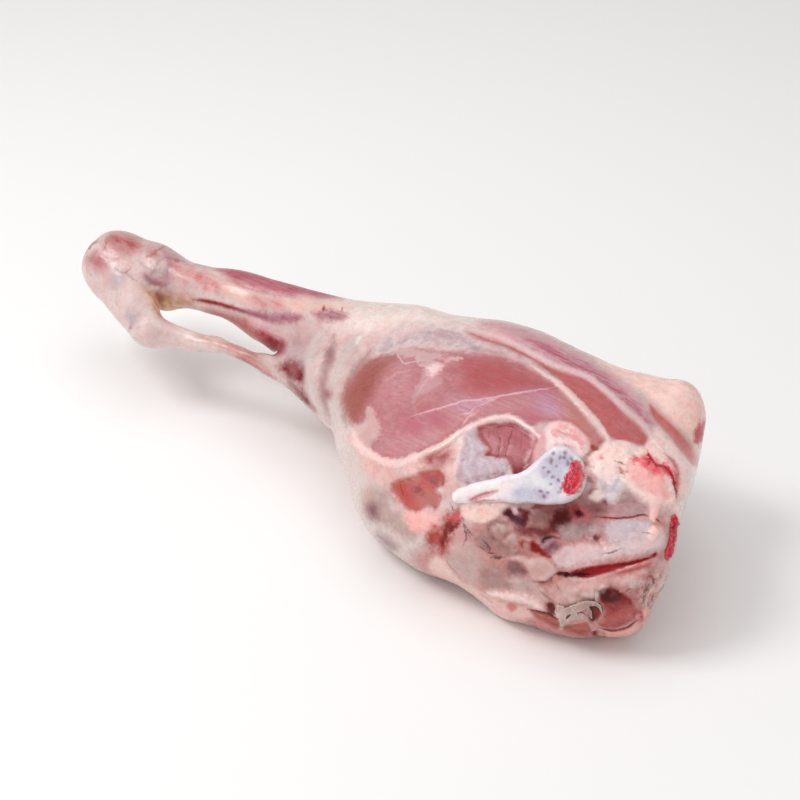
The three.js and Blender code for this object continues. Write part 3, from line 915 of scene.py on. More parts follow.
         (455, 433), (440, 444), (425, 451), (405, 459), (390, 461), (378, 457), (370, 447), (376, 434),
         (368, 420), (358, 424), (350, 418), (344, 402), (346, 388), (355, 374)]]},
    "redMuscle": {"colour": (180, 80, 83), "soft": 15.8, "streaks": 0.35, "ragged": 5, "flesh": 1,
        "photoAreas": [
        [(462, 360), (480, 357), (500, 359), (521, 367), (540, 378), (552, 386), (540, 391), (521, 391),
         (500, 394), (480, 397), (470, 393), (462, 380)]]},
    "oliveMuscle": {"colour": (196, 124, 112), "soft": 9.8, "ragged": 3, "flesh": 1, "photoAreas": [
        [(560, 398), (570, 406), (580, 418), (590, 432), (600, 446), (592, 450), (580, 438), (568, 424),
         (560, 412)]]},
    "brownMuscle": {"colour": (158, 85, 77), "shade": (165, 89, 81), "soft": 8.3, "ragged": 3,
        "flesh": 1, "photoAreas": [
        [(368, 361), (389, 358), (396, 355), (393, 361), (384, 374), (377, 386), (369, 400), (362, 413),
         (353, 423), (346, 412), (344, 396), (352, 380), (361, 368)]]},
    "paleMuscle": {"colour": (200, 141, 146), "soft": 14.3, "streaks": 0.5, "ragged": 6, "flesh": 1,
        "photoAreas": [
        [(376, 440), (395, 434), (415, 434), (440, 438), (425, 447), (405, 456), (390, 458), (378, 453)],
        [(386, 378), (396, 366), (410, 368), (412, 385), (403, 398), (392, 402), (384, 396)],
        [(440, 408), (470, 400), (500, 398), (528, 398), (520, 408), (490, 410), (462, 420),
         (446, 416)]]},
    "lilacHaze": {"colour": (206, 158, 188), "soft": 11.3, "streaks": 0.5, "ragged": 6, "flesh": 1,
        "strength": 0.85, "photoAreas": [
        [(530, 396), (546, 394), (560, 402), (564, 414), (550, 417), (536, 410)],
        [(452, 404), (470, 401), (486, 402), (470, 407)]]},
    "purpleBlotch": {"colour": (190, 105, 120), "soft": 8.3, "ragged": 6, "flesh": 1, "photoAreas": [
        [(424, 414), (436, 410), (448, 416), (444, 426), (432, 426)],
        [(402, 420), (416, 417), (424, 428), (412, 433)],
        [(517, 414), (534, 413), (546, 420), (534, 424), (522, 420)]]},
    "filmPatch": {"colour": (201, 153, 158), "soft": 3, "ragged": 3, "photoAreas": [
        [(424, 366), (432, 362), (442, 364), (440, 372), (441, 382), (432, 390), (418, 396), (412, 402),
         (414, 391), (420, 379)]]},
    "filmBright": {"colour": (244, 213, 211), "soft": 3.5, "ragged": 4, "photoAreas": [
        [(426, 366), (434, 362), (442, 364), (438, 371), (430, 375)]]},
    "tornFilm": {"colour": (211, 170, 168), "soft": 2.5, "ragged": 6, "lift": 0.4, "photoAreas": [
        [(396, 351), (404, 348), (420, 350), (437, 352), (450, 356), (462, 357), (448, 362), (436, 360),
         (424, 365), (414, 358), (404, 357)],
        [(366, 408), (372, 408), (377, 418), (381, 431), (376, 437), (368, 441), (362, 437),
         (366, 424)]]},
    "upperStrip": {"colour": (204, 139, 156), "soft": 8, "streaks": 0.6, "ragged": 3, "flesh": 1,
        "photoAreas": [
        [(480, 326), (500, 331), (521, 342), (542, 354), (563, 364), (584, 370), (598, 379), (612, 391),
         (626, 403), (640, 415), (650, 426), (652, 416), (640, 400), (626, 386), (612, 375), (598, 367),
         (584, 358), (563, 347), (542, 336), (521, 328), (500, 322), (485, 320)]]},
    "upperStreak": {"colour": (175, 59, 94), "soft": 7, "streaks": 0.6, "ragged": 3, "flesh": 1,
        "photoAreas": [
        [(525, 337), (545, 345), (565, 356), (585, 365), (603, 376), (618, 389), (632, 403), (643, 415),
         (648, 424), (640, 419), (626, 406), (612, 394), (598, 382), (584, 372), (563, 362),
         (542, 350)]]},
    "innerStrip": {"colour": (197, 99, 103), "shade": (188, 90, 88), "soft": 4, "streaks": 0.12,
        "ragged": 1.5, "flesh": 1, "lift": -0.8, "photoAreas": [
        [(466, 331), (485, 337), (511, 345), (535, 357), (556, 368), (570, 372), (584, 376), (598, 386),
         (612, 399), (626, 413), (640, 425), (648, 436), (645, 446), (632, 443), (620, 440), (612, 438),
         (605, 430), (596, 420), (585, 408), (575, 397), (566, 387), (556, 377), (535, 362), (511, 349),
         (485, 341)]]},
    "seamFat": {"colour": (229, 189, 193), "soft": 2.2, "ragged": 2, "lift": 0.6, "edge": 3,
        "photoStrokes": [
        (2.6, [(455, 323), (480, 331), (500, 337), (521, 347), (542, 359), (563, 368), (584, 375),
               (598, 384), (612, 396), (626, 409), (640, 421), (650, 432), (660, 446), (668, 460)])]},
    "flapFat": {"colour": (255, 219, 208), "shade": (255, 206, 196), "soft": 5.3, "ragged": 2,
        "photoAreas": [
        [(598, 360), (621, 363), (650, 368), (665, 374), (690, 374), (710, 388), (714, 412), (712, 440),
         (702, 456), (690, 440), (676, 424), (662, 410), (648, 396), (630, 382), (612, 371)]]},
    "flapPale": {"colour": (250, 232, 224), "soft": 8.3, "ragged": 3, "photoAreas": [
        [(690, 448), (700, 446), (706, 452), (698, 476), (688, 500), (682, 520), (676, 516), (682, 494),
         (690, 470)]]},
    "flapStrip": {"colour": (219, 115, 116), "soft": 4.5, "streaks": 0.2, "ragged": 2, "flesh": 1,
        "lift": -1, "photoAreas": [
        [(650, 404), (660, 412), (672, 423), (684, 436), (694, 450), (698, 464), (692, 465), (684, 455),
         (674, 440), (662, 427), (653, 416)]]},
    "flapBrown": {"colour": (206, 112, 100), "soft": 4, "streaks": 0.5, "ragged": 7, "photoStrokes": [
        (1.6, [(616, 364), (632, 367), (652, 373)]), (1.4, [(666, 376), (682, 378), (695, 386)])]},
    "flapRed": {"colour": (206, 72, 82), "soft": 4, "ragged": 7, "photoAreas": [
        [(694, 432), (699, 424), (708, 420), (710, 438), (701, 443), (695, 440)]]},
    "rightFat": {"colour": (255, 228, 219), "shade": (255, 213, 208), "soft": 4.1, "ragged": 4,
        "photoAreas": [
        [(610, 443), (622, 441), (640, 448), (650, 440), (656, 428), (664, 434), (676, 446), (690, 466),
         (688, 482), (680, 496), (672, 504), (655, 508), (640, 506), (620, 500), (605, 496), (594, 480),
         (590, 457), (600, 449)]]},
    "rightShade": {"colour": (181, 141, 143), "shade": (194, 153, 154), "soft": 4.7, "ragged": 4,
        "photoAreas": [
        [(610, 492), (622, 488), (635, 494), (645, 503), (648, 511), (640, 514), (620, 515), (609, 513),
         (608, 502)]]},
    "boneShade": {"colour": (205, 167, 166), "soft": 3.1, "ragged": 3, "photoAreas": [
        [(584, 482), (590, 474), (598, 478), (596, 488), (590, 498), (582, 502)]]},
    "pinkFat": {"colour": (248, 193, 185), "shade": (247, 178, 173), "soft": 4.7, "ragged": 4,
        "photoAreas": [
        [(628, 470), (640, 464), (656, 472), (667, 480), (666, 500), (655, 510), (650, 500), (640, 490),
         (628, 480)],
        [(404, 512), (412, 508), (424, 508), (436, 514), (440, 524), (432, 532), (418, 532),
         (406, 525)]]},
    "coolLumps": {"colour": (222, 208, 212), "shade": (204, 188, 196), "soft": 3.1, "ragged": 5,
        "photoAreas": [
        [(600, 480), (612, 476), (622, 482), (620, 496), (612, 504), (602, 498)]]},
    "whiteLumps": {"colour": (251, 224, 221), "soft": 2.5, "ragged": 4, "lift": 0.8, "edge": 3,
        "photoAreas": [
        [(589, 497), (597, 490), (604, 496), (597, 503)],
        [(602, 478), (610, 473), (616, 478), (608, 484)]]},
    "knobFat": {"colour": (255, 215, 216), "shade": (255, 230, 230), "soft": 3.2, "ragged": 2,
        "lift": 1.3, "edge": 6, "photoAreas": [
        [(545, 440), (547, 428), (556, 422), (568, 423), (578, 429), (588, 440), (588, 452), (580, 456),
         (572, 447), (556, 444), (547, 450)]]},
    "knobPink": {"colour": (232, 156, 156), "soft": 5.5, "ragged": 8, "photoAreas": [
        [(552, 430), (560, 426), (572, 428), (582, 436), (586, 446), (580, 450), (572, 442), (562, 438),
         (554, 438)]]},
    "knobFibres": {"colour": (255, 240, 236), "soft": 1.2, "ragged": 3.5, "strength": 0.6,
        "photoStrokes": [
        (1.2, [(548, 431), (551, 436), (553, 442)]), (1.0, [(556, 438), (561, 441), (566, 443)]),
        (1.2, [(570, 440), (575, 444), (580, 450)]), (0.9, [(559, 430), (566, 433), (574, 435)])]},
    "creamArea": {"colour": (227, 190, 182), "shade": (223, 177, 171), "soft": 4, "ragged": 3,
        "photoAreas": [
        [(350, 436), (360, 440), (372, 452), (386, 462), (404, 463), (400, 472), (392, 480), (384, 484),
         (372, 478), (364, 466), (354, 450)],
        [(436, 452), (448, 446), (458, 436), (466, 432), (460, 450), (455, 470), (454, 490), (446, 498),
         (444, 480), (442, 466)]]},
    "topsideRim": {"colour": (248, 214, 205), "soft": 1.8, "ragged": 3, "strength": 0.85, "lift": 0.7,
        "edge": 3, "photoStrokes": [
        (3.2, [(353, 431), (359, 443), (373, 455), (392, 464), (411, 461), (429, 453), (446, 444),
               (461, 432)])]},
    "mottledFat": {"colour": (240, 202, 196), "shade": (227, 181, 175), "soft": 5.3, "ragged": 4,
        "photoAreas": [
        [(404, 464), (416, 458), (428, 456), (426, 466), (416, 474), (404, 476)]]},
    "orangePink": {"colour": (155, 37, 35), "soft": 8.3, "ragged": 4, "photoAreas": [
        [(424, 456), (438, 450), (451, 446), (454, 453), (450, 463), (440, 464), (428, 464)]]},
    "membrane": {"colour": (189, 161, 171), "shade": (167, 139, 153), "soft": 2.0, "streaks": 0.3,
        "ragged": 4, "flesh": 1, "photoAreas": [
        [(465, 433), (475, 430), (480, 440), (486, 446), (487, 450), (484, 456), (495, 458), (505, 460),
         (510, 464), (508, 471), (498, 477), (481, 482), (466, 484), (459, 482), (456, 476), (459, 458),
         (463, 444)]]},
    "membraneGrey": {"colour": (117, 73, 81), "soft": 2.2, "ragged": 2, "strength": 0.35,
        "photoStrokes": [
        (1.1, [(472, 438), (477, 454), (475, 472)]), (0.9, [(487, 458), (495, 475)]),
        (0.9, [(462, 452), (461, 470), (466, 482)])]},
    "membraneStreaks": {"colour": (187, 185, 197), "soft": 2.2, "ragged": 2, "strength": 0.4,
        "photoStrokes": [
        (1.0, [(468, 436), (472, 448), (470, 464)]), (1.2, [(477, 437), (483, 452), (480, 469)]),
        (1.0, [(484, 456), (490, 466), (492, 477)]), (1.0, [(494, 458), (500, 468), (500, 477)]),
        (0.8, [(464, 456), (466, 470), (474, 481)]), (0.9, [(503, 460), (507, 469)])]},
    "window": {"colour": (183, 100, 109), "shade": (171, 88, 96), "soft": 1.8, "ragged": 2, "flesh": 1,
        "lift": -2.2, "edge": 4, "photoAreas": [
        [(477, 426), (487, 422), (503, 421), (515, 422), (526, 429), (533, 433), (538, 439), (535, 448),
         (532, 457), (527, 466), (517, 474), (511, 468), (509, 461), (505, 458), (495, 457), (484, 455),
         (487, 449), (484, 444), (480, 439), (477, 432)]]},
    "windowHaze": {"colour": (220, 164, 167), "soft": 3.9, "ragged": 4, "strength": 0.8, "photoAreas": [
        [(530, 431), (540, 432), (547, 440), (545, 450), (537, 460), (527, 470), (524, 462),
         (531, 447)]]},
    "windowCracks": {"colour": (117, 28, 18), "soft": 0.8, "ragged": 1.2, "strength": 0.6,
        "lift": -0.3, "edge": 1, "photoStrokes": [
        (0.6, [(489, 427), (488, 434)]), (0.8, [(497, 431), (500, 441), (498, 450), (496, 457)]),
        (0.9, [(512, 427), (509, 438), (507, 446), (504, 455)]), (0.5, [(521, 434), (520, 448)]),
        (0.6, [(494, 426), (504, 424), (514, 425)])]},
    "redPatch": {"colour": (199, 108, 100), "shade": (180, 110, 108), "soft": 5.1, "ragged": 4,
        "flesh": 1, "lift": -1.5, "photoAreas": [
        [(392, 483), (403, 478), (410, 476), (424, 471), (437, 469), (444, 476), (444, 484), (437, 490),
         (442, 497), (436, 509), (427, 507), (416, 512), (404, 506), (397, 498), (391, 490)]]},
    "redPatchDeep": {"colour": (190, 75, 69), "soft": 9.8, "ragged": 3, "flesh": 1, "photoAreas": [
        [(393, 483), (402, 480), (408, 488), (412, 498), (414, 509), (404, 505), (397, 496)],
        [(420, 474), (436, 471), (442, 478), (430, 484)]]},
    "redPatchDark": {"colour": (157, 81, 86), "soft": 3.0, "ragged": 6, "flesh": 1, "photoAreas": [
        [(428, 478), (436, 477), (440, 482), (432, 486)],
        [(412, 488), (420, 484), (422, 492), (416, 494)]]},
    "creamRidge": {"colour": (245, 202, 199), "soft": 2, "ragged": 3, "lift": 0.9, "edge": 5,
        "photoStrokes": [
        (3.4, [(352, 439), (358, 446), (369, 454), (384, 461), (401, 462), (412, 457), (423, 452)]),
        (1.9, [(418, 454), (438, 445), (461, 431), (481, 422), (504, 416), (516, 418), (529, 427),
               (537, 435)])]},
    "fatLine": {"colour": (242, 202, 197), "soft": 1.4, "ragged": 2, "lift": 0.8, "edge": 4,
        "taper": 0.4, "photoStrokes": [
        (3.2, [(533, 367), (546, 375), (558, 383), (568, 392), (578, 402), (588, 412), (597, 421),
               (605, 433), (611, 448)])]},
    "whiteThread": {"colour": (224, 179, 189), "soft": 0.8, "ragged": 1.2, "lift": 0.3, "edge": 1.5,
        "strength": 0.9, "photoStrokes": [
        (0.9, [(414, 415), (430, 410), (446, 406), (462, 401), (480, 399), (504, 395), (533, 390),
               (552, 387)]),
        (0.7, [(396, 352), (400, 358), (404, 363), (412, 362), (419, 360)]),
        (0.7, [(479, 405), (488, 401), (498, 397)]), (0.8, [(463, 424), (468, 417), (476, 412)]),
        (0.7, [(462, 414), (470, 412), (474, 408)])]},
    "filmWisps": {"colour": (235, 187, 188), "soft": 1.2, "ragged": 2.5, "strength": 0.45,
        "photoStrokes": [
        (0.8, [(424, 366), (430, 372), (426, 381), (418, 392)]),
        (0.9, [(432, 361), (442, 365), (452, 358)]),
        (0.7, [(468, 350), (490, 353), (512, 358), (535, 366), (556, 378)]),
        (0.5, [(385, 381), (397, 372), (408, 370)])]},
    "smoothMound": {"colour": (206, 171, 166), "shade": (196, 160, 154), "soft": 9, "ragged": 4,
        "photoAreas": [
        [(446, 548), (460, 540), (478, 546), (486, 560), (486, 580), (474, 584), (458, 576),
         (448, 564)]]},
    # the pale pink fat along the lower left edge, made paler as a painted rim of light
    "paleMarginRimLight": {"colour": (239, 204, 194), "soft": 4.7, "ragged": 3, "photoAreas": [
        [(430, 560), (442, 556), (450, 566), (460, 578), (476, 588), (488, 598), (500, 612), (515, 620),
         (530, 626), (520, 630), (495, 620), (470, 600), (450, 586), (432, 574)]]},
    # fat in the valleys between the lobes, darkened as painted shade
    "valleyFatShade": {"colour": (182, 140, 135), "shade": (168, 125, 121), "soft": 5.5, "ragged": 4,
        "photoAreas": [
        [(480, 572), (498, 566), (510, 576), (514, 590), (500, 592), (486, 586)],
        [(478, 528), (490, 538), (486, 548), (476, 540)]]},
    # a dark patch in a dip: painted shade
    "valleyShade": {"colour": (147, 95, 97), "shade": (136, 84, 87), "soft": 5, "ragged": 3,
        "lift": -0.9, "edge": 8, "photoAreas": [
        [(507, 565), (516, 561), (523, 565), (528, 574), (520, 577), (511, 577)]]},
    "mauveFat": {"colour": (204, 169, 164), "soft": 4.7, "ragged": 4, "photoAreas": [
        [(512, 577), (530, 578), (542, 588), (552, 596), (544, 602), (530, 596), (515, 591)]]},
    "greyLobes": {"colour": (172, 125, 121), "shade": (158, 113, 109), "soft": 3.9, "ragged": 4,
        "photoAreas": [
        [(486, 524), (500, 519), (514, 527), (520, 534), (516, 546), (520, 554), (508, 557), (496, 549),
         (486, 540)]]},
    "paleLobe": {"colour": (180, 133, 127), "soft": 2.3, "ragged": 3, "lift": 0.8, "edge": 3,
        "photoAreas": [
        [(491, 528), (498, 524), (505, 528), (505, 535), (498, 538), (492, 534)],
        [(508, 536), (516, 534), (518, 544), (510, 548), (504, 543)]]},
    "creamFlap": {"colour": (249, 212, 203), "shade": (248, 200, 193), "soft": 2.3, "ragged": 3,
        "lift": 1.2, "edge": 4, "photoAreas": [
        [(461, 510), (470, 506), (485, 505), (500, 505), (506, 506), (501, 512), (494, 519), (484, 523),
         (472, 521), (464, 517)]]},
    "shadowEdge": {"colour": (169, 110, 114), "soft": 3.9, "ragged": 4, "photoAreas": [
        [(556, 510), (574, 507), (590, 503), (606, 502), (608, 513), (596, 516), (584, 514), (574, 522),
         (562, 528)]]},
    "shadowFat": {"colour": (137, 62, 61), "shade": (124, 53, 52), "soft": 3.9, "ragged": 4,
        "lift": -1.6, "edge": 8, "photoAreas": [
        [(516, 528), (530, 525), (545, 527), (552, 519), (557, 511), (574, 509), (572, 520), (562, 530),
         (548, 537), (534, 538), (520, 535)]]},
    "beigeTooth": {"colour": (167, 111, 106), "shade": (157, 102, 97), "soft": 2.5, "ragged": 2,
        "lift": 1, "edge": 3, "photoAreas": [
        [(530, 511), (536, 514), (545, 513), (547, 524), (538, 526), (528, 523), (528, 518)]]},
    # the hollow under the bone, painted dark purple as shade
    "holeShade": {"colour": (99, 53, 70), "shade": (118, 71, 90), "soft": 2.2, "ragged": 2, "lift": -3,
        "edge": 5, "photoAreas": [
        [(503, 513), (508, 509), (516, 513), (522, 516), (528, 521), (525, 527), (518, 526), (511, 522),
         (506, 517)]]},
    "holeRed": {"colour": (108, 29, 35), "soft": 2.5, "ragged": 2, "photoAreas": [
        [(517, 509), (526, 509), (531, 514), (528, 521), (522, 516)]]},
    "holeGlint": {"colour": (234, 191, 196), "soft": 1.5, "ragged": 2, "photoAreas": [
        [(511, 509), (515, 508), (517, 513), (513, 514)]]},
    "greySheen": {"colour": (167, 137, 140), "shade": (183, 152, 149), "soft": 4.7, "ragged": 4,
        "photoAreas": [
        [(560, 526), (575, 522), (590, 522), (606, 523), (604, 533), (590, 537), (575, 540),
         (562, 540)]]},
    "whiteBand": {"colour": (224, 197, 197), "shade": (217, 187, 186), "soft": 3.9, "ragged": 4,
        "lift": 1, "edge": 8, "photoAreas": [
        [(553, 556), (562, 548), (580, 543), (600, 545), (620, 542), (640, 538), (655, 528), (664, 530),
         (665, 545), (655, 551), (630, 555), (600, 561), (575, 566), (558, 566)]]},
    # bluish white fat lump, its bluish white partly a painted sheen
    "blueWhiteSheen": {"colour": (216, 199, 204), "shade": (206, 189, 194), "soft": 4.7, "ragged": 4,
        "lift": 1.2, "edge": 10, "photoAreas": [
        [(608, 523), (625, 520), (648, 520), (652, 528), (648, 540), (630, 543), (610, 542),
         (606, 532)]]},
    "orangeStain": {"colour": (153, 36, 22), "soft": 2.3, "ragged": 3, "photoAreas": [
        [(519, 541), (528, 540), (536, 544), (544, 549), (551, 557), (546, 558), (538, 554), (530, 551),
         (522, 547)]]},
    "orangeCore": {"colour": (131, 16, 4), "soft": 2.3, "ragged": 3, "photoAreas": [
        [(530, 544), (537, 544), (543, 549), (546, 554), (540, 553), (533, 549)]]},
    "purpleLump": {"colour": (136, 74, 91), "soft": 4.5, "ragged": 4, "photoAreas": [
        [(541, 546), (547, 539), (556, 539), (560, 546), (556, 552), (548, 553)]]},
    "purpleArc": {"colour": (30, 12, 20), "soft": 2.2, "ragged": 2, "photoStrokes": [
        (1.6, [(541, 544), (544, 539), (550, 537), (557, 538)])]},
    "triangleFat": {"colour": (219, 170, 165), "shade": (210, 160, 153), "soft": 2.3, "ragged": 3,
        "lift": 1.4, "edge": 4, "photoAreas": [
        [(508, 558), (520, 556), (530, 558), (545, 558), (554, 566), (556, 573), (550, 579), (540, 581),
         (532, 578), (527, 568), (520, 561)]]},
    "lowerFat": {"colour": (219, 172, 167), "shade": (205, 158, 152), "soft": 4.7, "ragged": 5,
        "photoAreas": [
        [(552, 585), (575, 578), (600, 580), (606, 588), (590, 600), (575, 606), (558, 604), (550, 595)],
        [(612, 578), (630, 574), (642, 570), (636, 582), (618, 586)]]},
    "slitBelow": {"colour": (177, 65, 64), "soft": 2.3, "ragged": 3, "photoAreas": [
        [(614, 571), (630, 568), (648, 562), (654, 558), (650, 566), (634, 571), (620, 574)]]},
    # dark lines along creases in the fat: painted shade
    "creaseShadeLines": {"strength": 0.75, "colour": (173, 106, 100), "soft": 1, "ragged": 1.5,
        "lift": -0.5, "edge": 2, "photoStrokes": [
        (0.9, [(535, 582), (545, 582), (551, 578), (557, 573)]),
        (0.7, [(447, 559), (451, 566), (457, 572)]), (0.7, [(484, 592), (494, 598)]),
        (0.7, [(556, 584), (560, 590)]), (0.9, [(532, 509), (539, 508), (546, 508)]),
        (0.8, [(540, 590), (548, 598), (556, 603)])]},
    "stain": {"colour": (166, 42, 33), "shade": (178, 57, 47), "soft": 5.5, "ragged": 6, "photoAreas": [
        [(428, 530), (440, 524), (450, 512), (459, 514), (462, 522), (456, 530), (450, 540), (447, 552),
         (441, 556), (438, 547), (430, 546), (424, 540)]]},
    "stainDark": {"colour": (118, 32, 31), "soft": 2.7, "ragged": 6, "photoAreas": [
        [(447, 524), (455, 518), (459, 522), (454, 531), (448, 538), (444, 548), (441, 552), (440, 544),
         (444, 534)]]},
    "stainRed": {"colour": (199, 74, 80), "soft": 2.5, "ragged": 4, "photoAreas": [
        [(450, 516), (456, 514), (460, 519), (455, 523), (450, 521)]]},
    "paleRidge": {"colour": (250, 217, 211), "shade": (254, 225, 221), "soft": 4.5, "ragged": 3,
        "lift": 1.4, "edge": 5, "photoAreas": [
        [(486, 591), (500, 590), (512, 592), (524, 594), (532, 598), (540, 602), (542, 609), (536, 608),
         (526, 604), (512, 601), (498, 598), (490, 595)]]},
    "ridgeBelow": {"colour": (237, 195, 189), "soft": 3.9, "ragged": 3, "photoAreas": [
        [(490, 599), (510, 603), (530, 609), (540, 613), (530, 618), (515, 620), (500, 612)]]},
    "pinkSpot": {"colour": (217, 116, 114), "soft": 2.3, "ragged": 2, "photoAreas": [
        [(506, 606), (511, 602), (517, 607), (511, 612)]]},
    "bottomStrip": {"colour": (164, 74, 66), "shade": (183, 93, 82), "soft": 2, "ragged": 2,
        "flesh": 1, "lift": -0.8, "photoAreas": [
        [(530, 610), (545, 612), (556, 618), (561, 625), (556, 629), (545, 623), (534, 616)],
        [(564, 626), (580, 624), (587, 623), (591, 630), (595, 636), (580, 636), (566, 631)]]},
    "stripEdge": {"colour": (75, 36, 34), "soft": 1.2, "ragged": 1.5, "photoStrokes": [
        (1.2, [(530, 610), (540, 612), (549, 615), (558, 620)])]},
    # dark spots in crevices: painted shade
    "creviceShade": {"colour": (124, 57, 53), "soft": 1.8, "ragged": 3, "lift": -2, "edge": 2.5,
        "photoAreas": [
        [(546, 605), (553, 604), (557, 612), (550, 615)],
        [(594, 632), (604, 633), (605, 637), (594, 637)],
        [(589, 606), (597, 603), (601, 612), (593, 623), (588, 616)]]},
    "section": {"colour": (149, 35, 34), "shade": (137, 29, 30), "soft": 2, "ragged": 2, "flesh": 1,
        "lift": 0.6, "edge": 6, "photoAreas": [
        [(600, 590), (606, 587), (618, 590), (626, 595), (634, 604), (636, 614), (630, 621), (618, 627),
         (606, 628), (597, 622), (596, 612), (603, 606), (600, 598)]]},
    "sectionPale": {"colour": (183, 85, 81), "soft": 5.5, "ragged": 4, "flesh": 1, "photoAreas": [
        [(600, 614), (614, 611), (630, 606), (635, 613), (627, 621), (612, 626), (601, 624)]]},
    # the upper left of the rounded cut muscle, darkened as painted shade
    "sectionShade": {"colour": (85, 17, 19), "soft": 2.7, "ragged": 4, "flesh": 1, "photoAreas": [
        [(600, 591), (608, 588), (620, 591), (621, 598), (611, 602), (603, 599)]]},
    "fibrousEdge": {"colour": (226, 174, 165), "shade": (211, 159, 151), "soft": 2.3, "ragged": 6,
        "photoAreas": [
        [(640, 590), (650, 578), (660, 570), (665, 585), (660, 599), (650, 605), (642, 604)]]},
    "fibrousStreaks": {"colour": (125, 70, 65), "soft": 1.2, "ragged": 3, "photoStrokes": [
        (1.2, [(642, 594), (648, 586), (656, 580)]), (1.0, [(642, 606), (643, 598), (647, 592)]),
        (0.9, [(650, 602), (655, 594), (661, 586)]), (0.8, [(658, 580), (662, 574)]),
        (0.8, [(626, 592), (634, 586), (640, 584)])]},
    "sectionRim": {"colour": (234, 170, 158), "soft": 2.3, "ragged": 2, "photoAreas": [
        [(600, 630), (616, 632), (632, 627), (638, 622), (641, 626), (630, 635), (612, 638),
         (600, 637)]]},
    "endKnob": {"colour": (238, 150, 136), "soft": 2, "ragged": 1.5, "lift": 1.2, "photoAreas": [
        [(636, 616), (640, 610), (646, 606), (651, 612), (649, 620), (642, 624)]]},
    "endRed": {"colour": (171, 26, 27), "soft": 2, "ragged": 2, "photoAreas": [
        [(636, 614), (640, 610), (642, 618), (639, 622)]]},
    "edgeStripe": {"colour": (205, 107, 111), "soft": 2.5, "ragged": 2, "photoStrokes": [
        (3.0, [(666, 456), (673, 463), (677, 475), (677, 494)])]},
    "stripeWhite": {"colour": (247, 176, 183), "soft": 1, "ragged": 1.5, "photoStrokes": [
        (0.9, [(664, 459), (670, 463), (675, 470)])]},
    "redHalo": {"colour": (241, 132, 141), "soft": 4.2, "ragged": 4, "photoAreas": [
        [(570, 509), (582, 507), (590, 515), (582, 521), (572, 518)]]},
    "redBlobs": {"colour": (94, 12, 25), "soft": 2.8, "ragged": 3, "photoAreas": [
        [(573, 511), (578, 510), (584, 516), (577, 518)],
        [(593, 538), (597, 536), (600, 540), (595, 542)]]},
    "redLines": {"colour": (132, 44, 48), "soft": 0.8, "ragged": 1.2, "lift": -0.5, "edge": 1.5,
        "photoStrokes": [
        (0.9, [(597, 517), (613, 518), (631, 517), (641, 515), (649, 516)]),
        (0.8, [(655, 518), (660, 522)]), (1.3, [(602, 629), (614, 631), (627, 628), (637, 620)])]},
    "creamStrand": {"colour": (255, 204, 198), "soft": 2, "ragged": 2, "lift": 0.8, "edge": 2,
        "photoAreas": [
        [(648, 494), (656, 498), (663, 500), (658, 512), (654, 522), (650, 518), (650, 506)],
        [(648, 532), (652, 526), (657, 528), (656, 537), (650, 540)]]},
    "vessels": {"strength": 0.75, "colour": (41, 9, 13), "soft": 1.1, "ragged": 2, "photoStrokes": [
        (0.8, [(451, 506), (453, 511)]), (0.9, [(462, 523), (467, 528), (472, 533)]),
        (1.0, [(464, 528), (467, 535), (465, 542)]), (0.8, [(485, 541), (489, 546), (491, 552)]),
        (1.2, [(488, 552), (494, 553)]), (1.8, [(494, 557), (502, 557)]),
        (0.8, [(606, 554), (613, 553), (619, 550)]), (0.9, [(617, 463), (624, 465)]),
        (0.5, [(400, 488), (401, 492)]), (0.8, [(646, 533), (650, 534)]),
        (0.5, [(480, 546), (486, 549)])]},
    "bloodPink": {"colour": (246, 102, 112), "soft": 3.9, "ragged": 5, "photoAreas": [
        [(630, 460), (640, 456), (650, 456), (660, 464), (670, 468), (672, 476), (662, 478), (650, 474),
         (640, 468)]]},
    "freshBlood": {"colour": (234, 63, 87), "soft": 2, "ragged": 4, "photoAreas": [
        [(654, 466), (662, 464), (670, 468), (670, 473), (660, 473), (653, 471)],
        [(644, 462), (647, 459), (650, 462), (648, 466)]]},
    "bloodLines": {"colour": (190, 11, 23), "soft": 1.2, "ragged": 2, "photoStrokes": [
        (1.2, [(649, 453), (651, 458), (655, 465)]), (1.6, [(670, 470), (673, 478), (675, 488)])]},
    "bloodDark": {"colour": (176, 16, 42), "soft": 1.0, "ragged": 2.6, "photoStrokes": [
        (1.3, [(648, 452), (650, 457), (652, 462)]),
        (1.2, [(651, 462), (658, 466), (665, 467), (670, 471)]),
        (1.3, [(670, 471), (673, 478), (675, 487), (676, 495)]),
        (0.8, [(645, 459), (648, 462), (646, 466)])]},
    "slit": {"colour": (168, 20, 35), "shade": (145, 16, 28), "soft": 1.2, "ragged": 1.5, "lift": -1.5,
        "edge": 2.5, "photoAreas": [
        [(570, 572), (580, 569), (590, 567), (600, 565), (612, 563), (624, 562), (640, 559), (650, 556),
         (656, 552), (656, 556), (648, 560), (636, 564), (622, 568), (610, 572), (598, 575), (586, 578),
         (576, 576)]]},
    # the deep end of the slit, darkened as painted shade
    "slitShade": {"colour": (72, 3, 13), "soft": 1.5, "ragged": 3, "lift": -1, "photoAreas": [
        [(556, 574), (564, 571), (572, 573), (582, 573), (588, 575), (578, 577), (562, 576)]]},
}


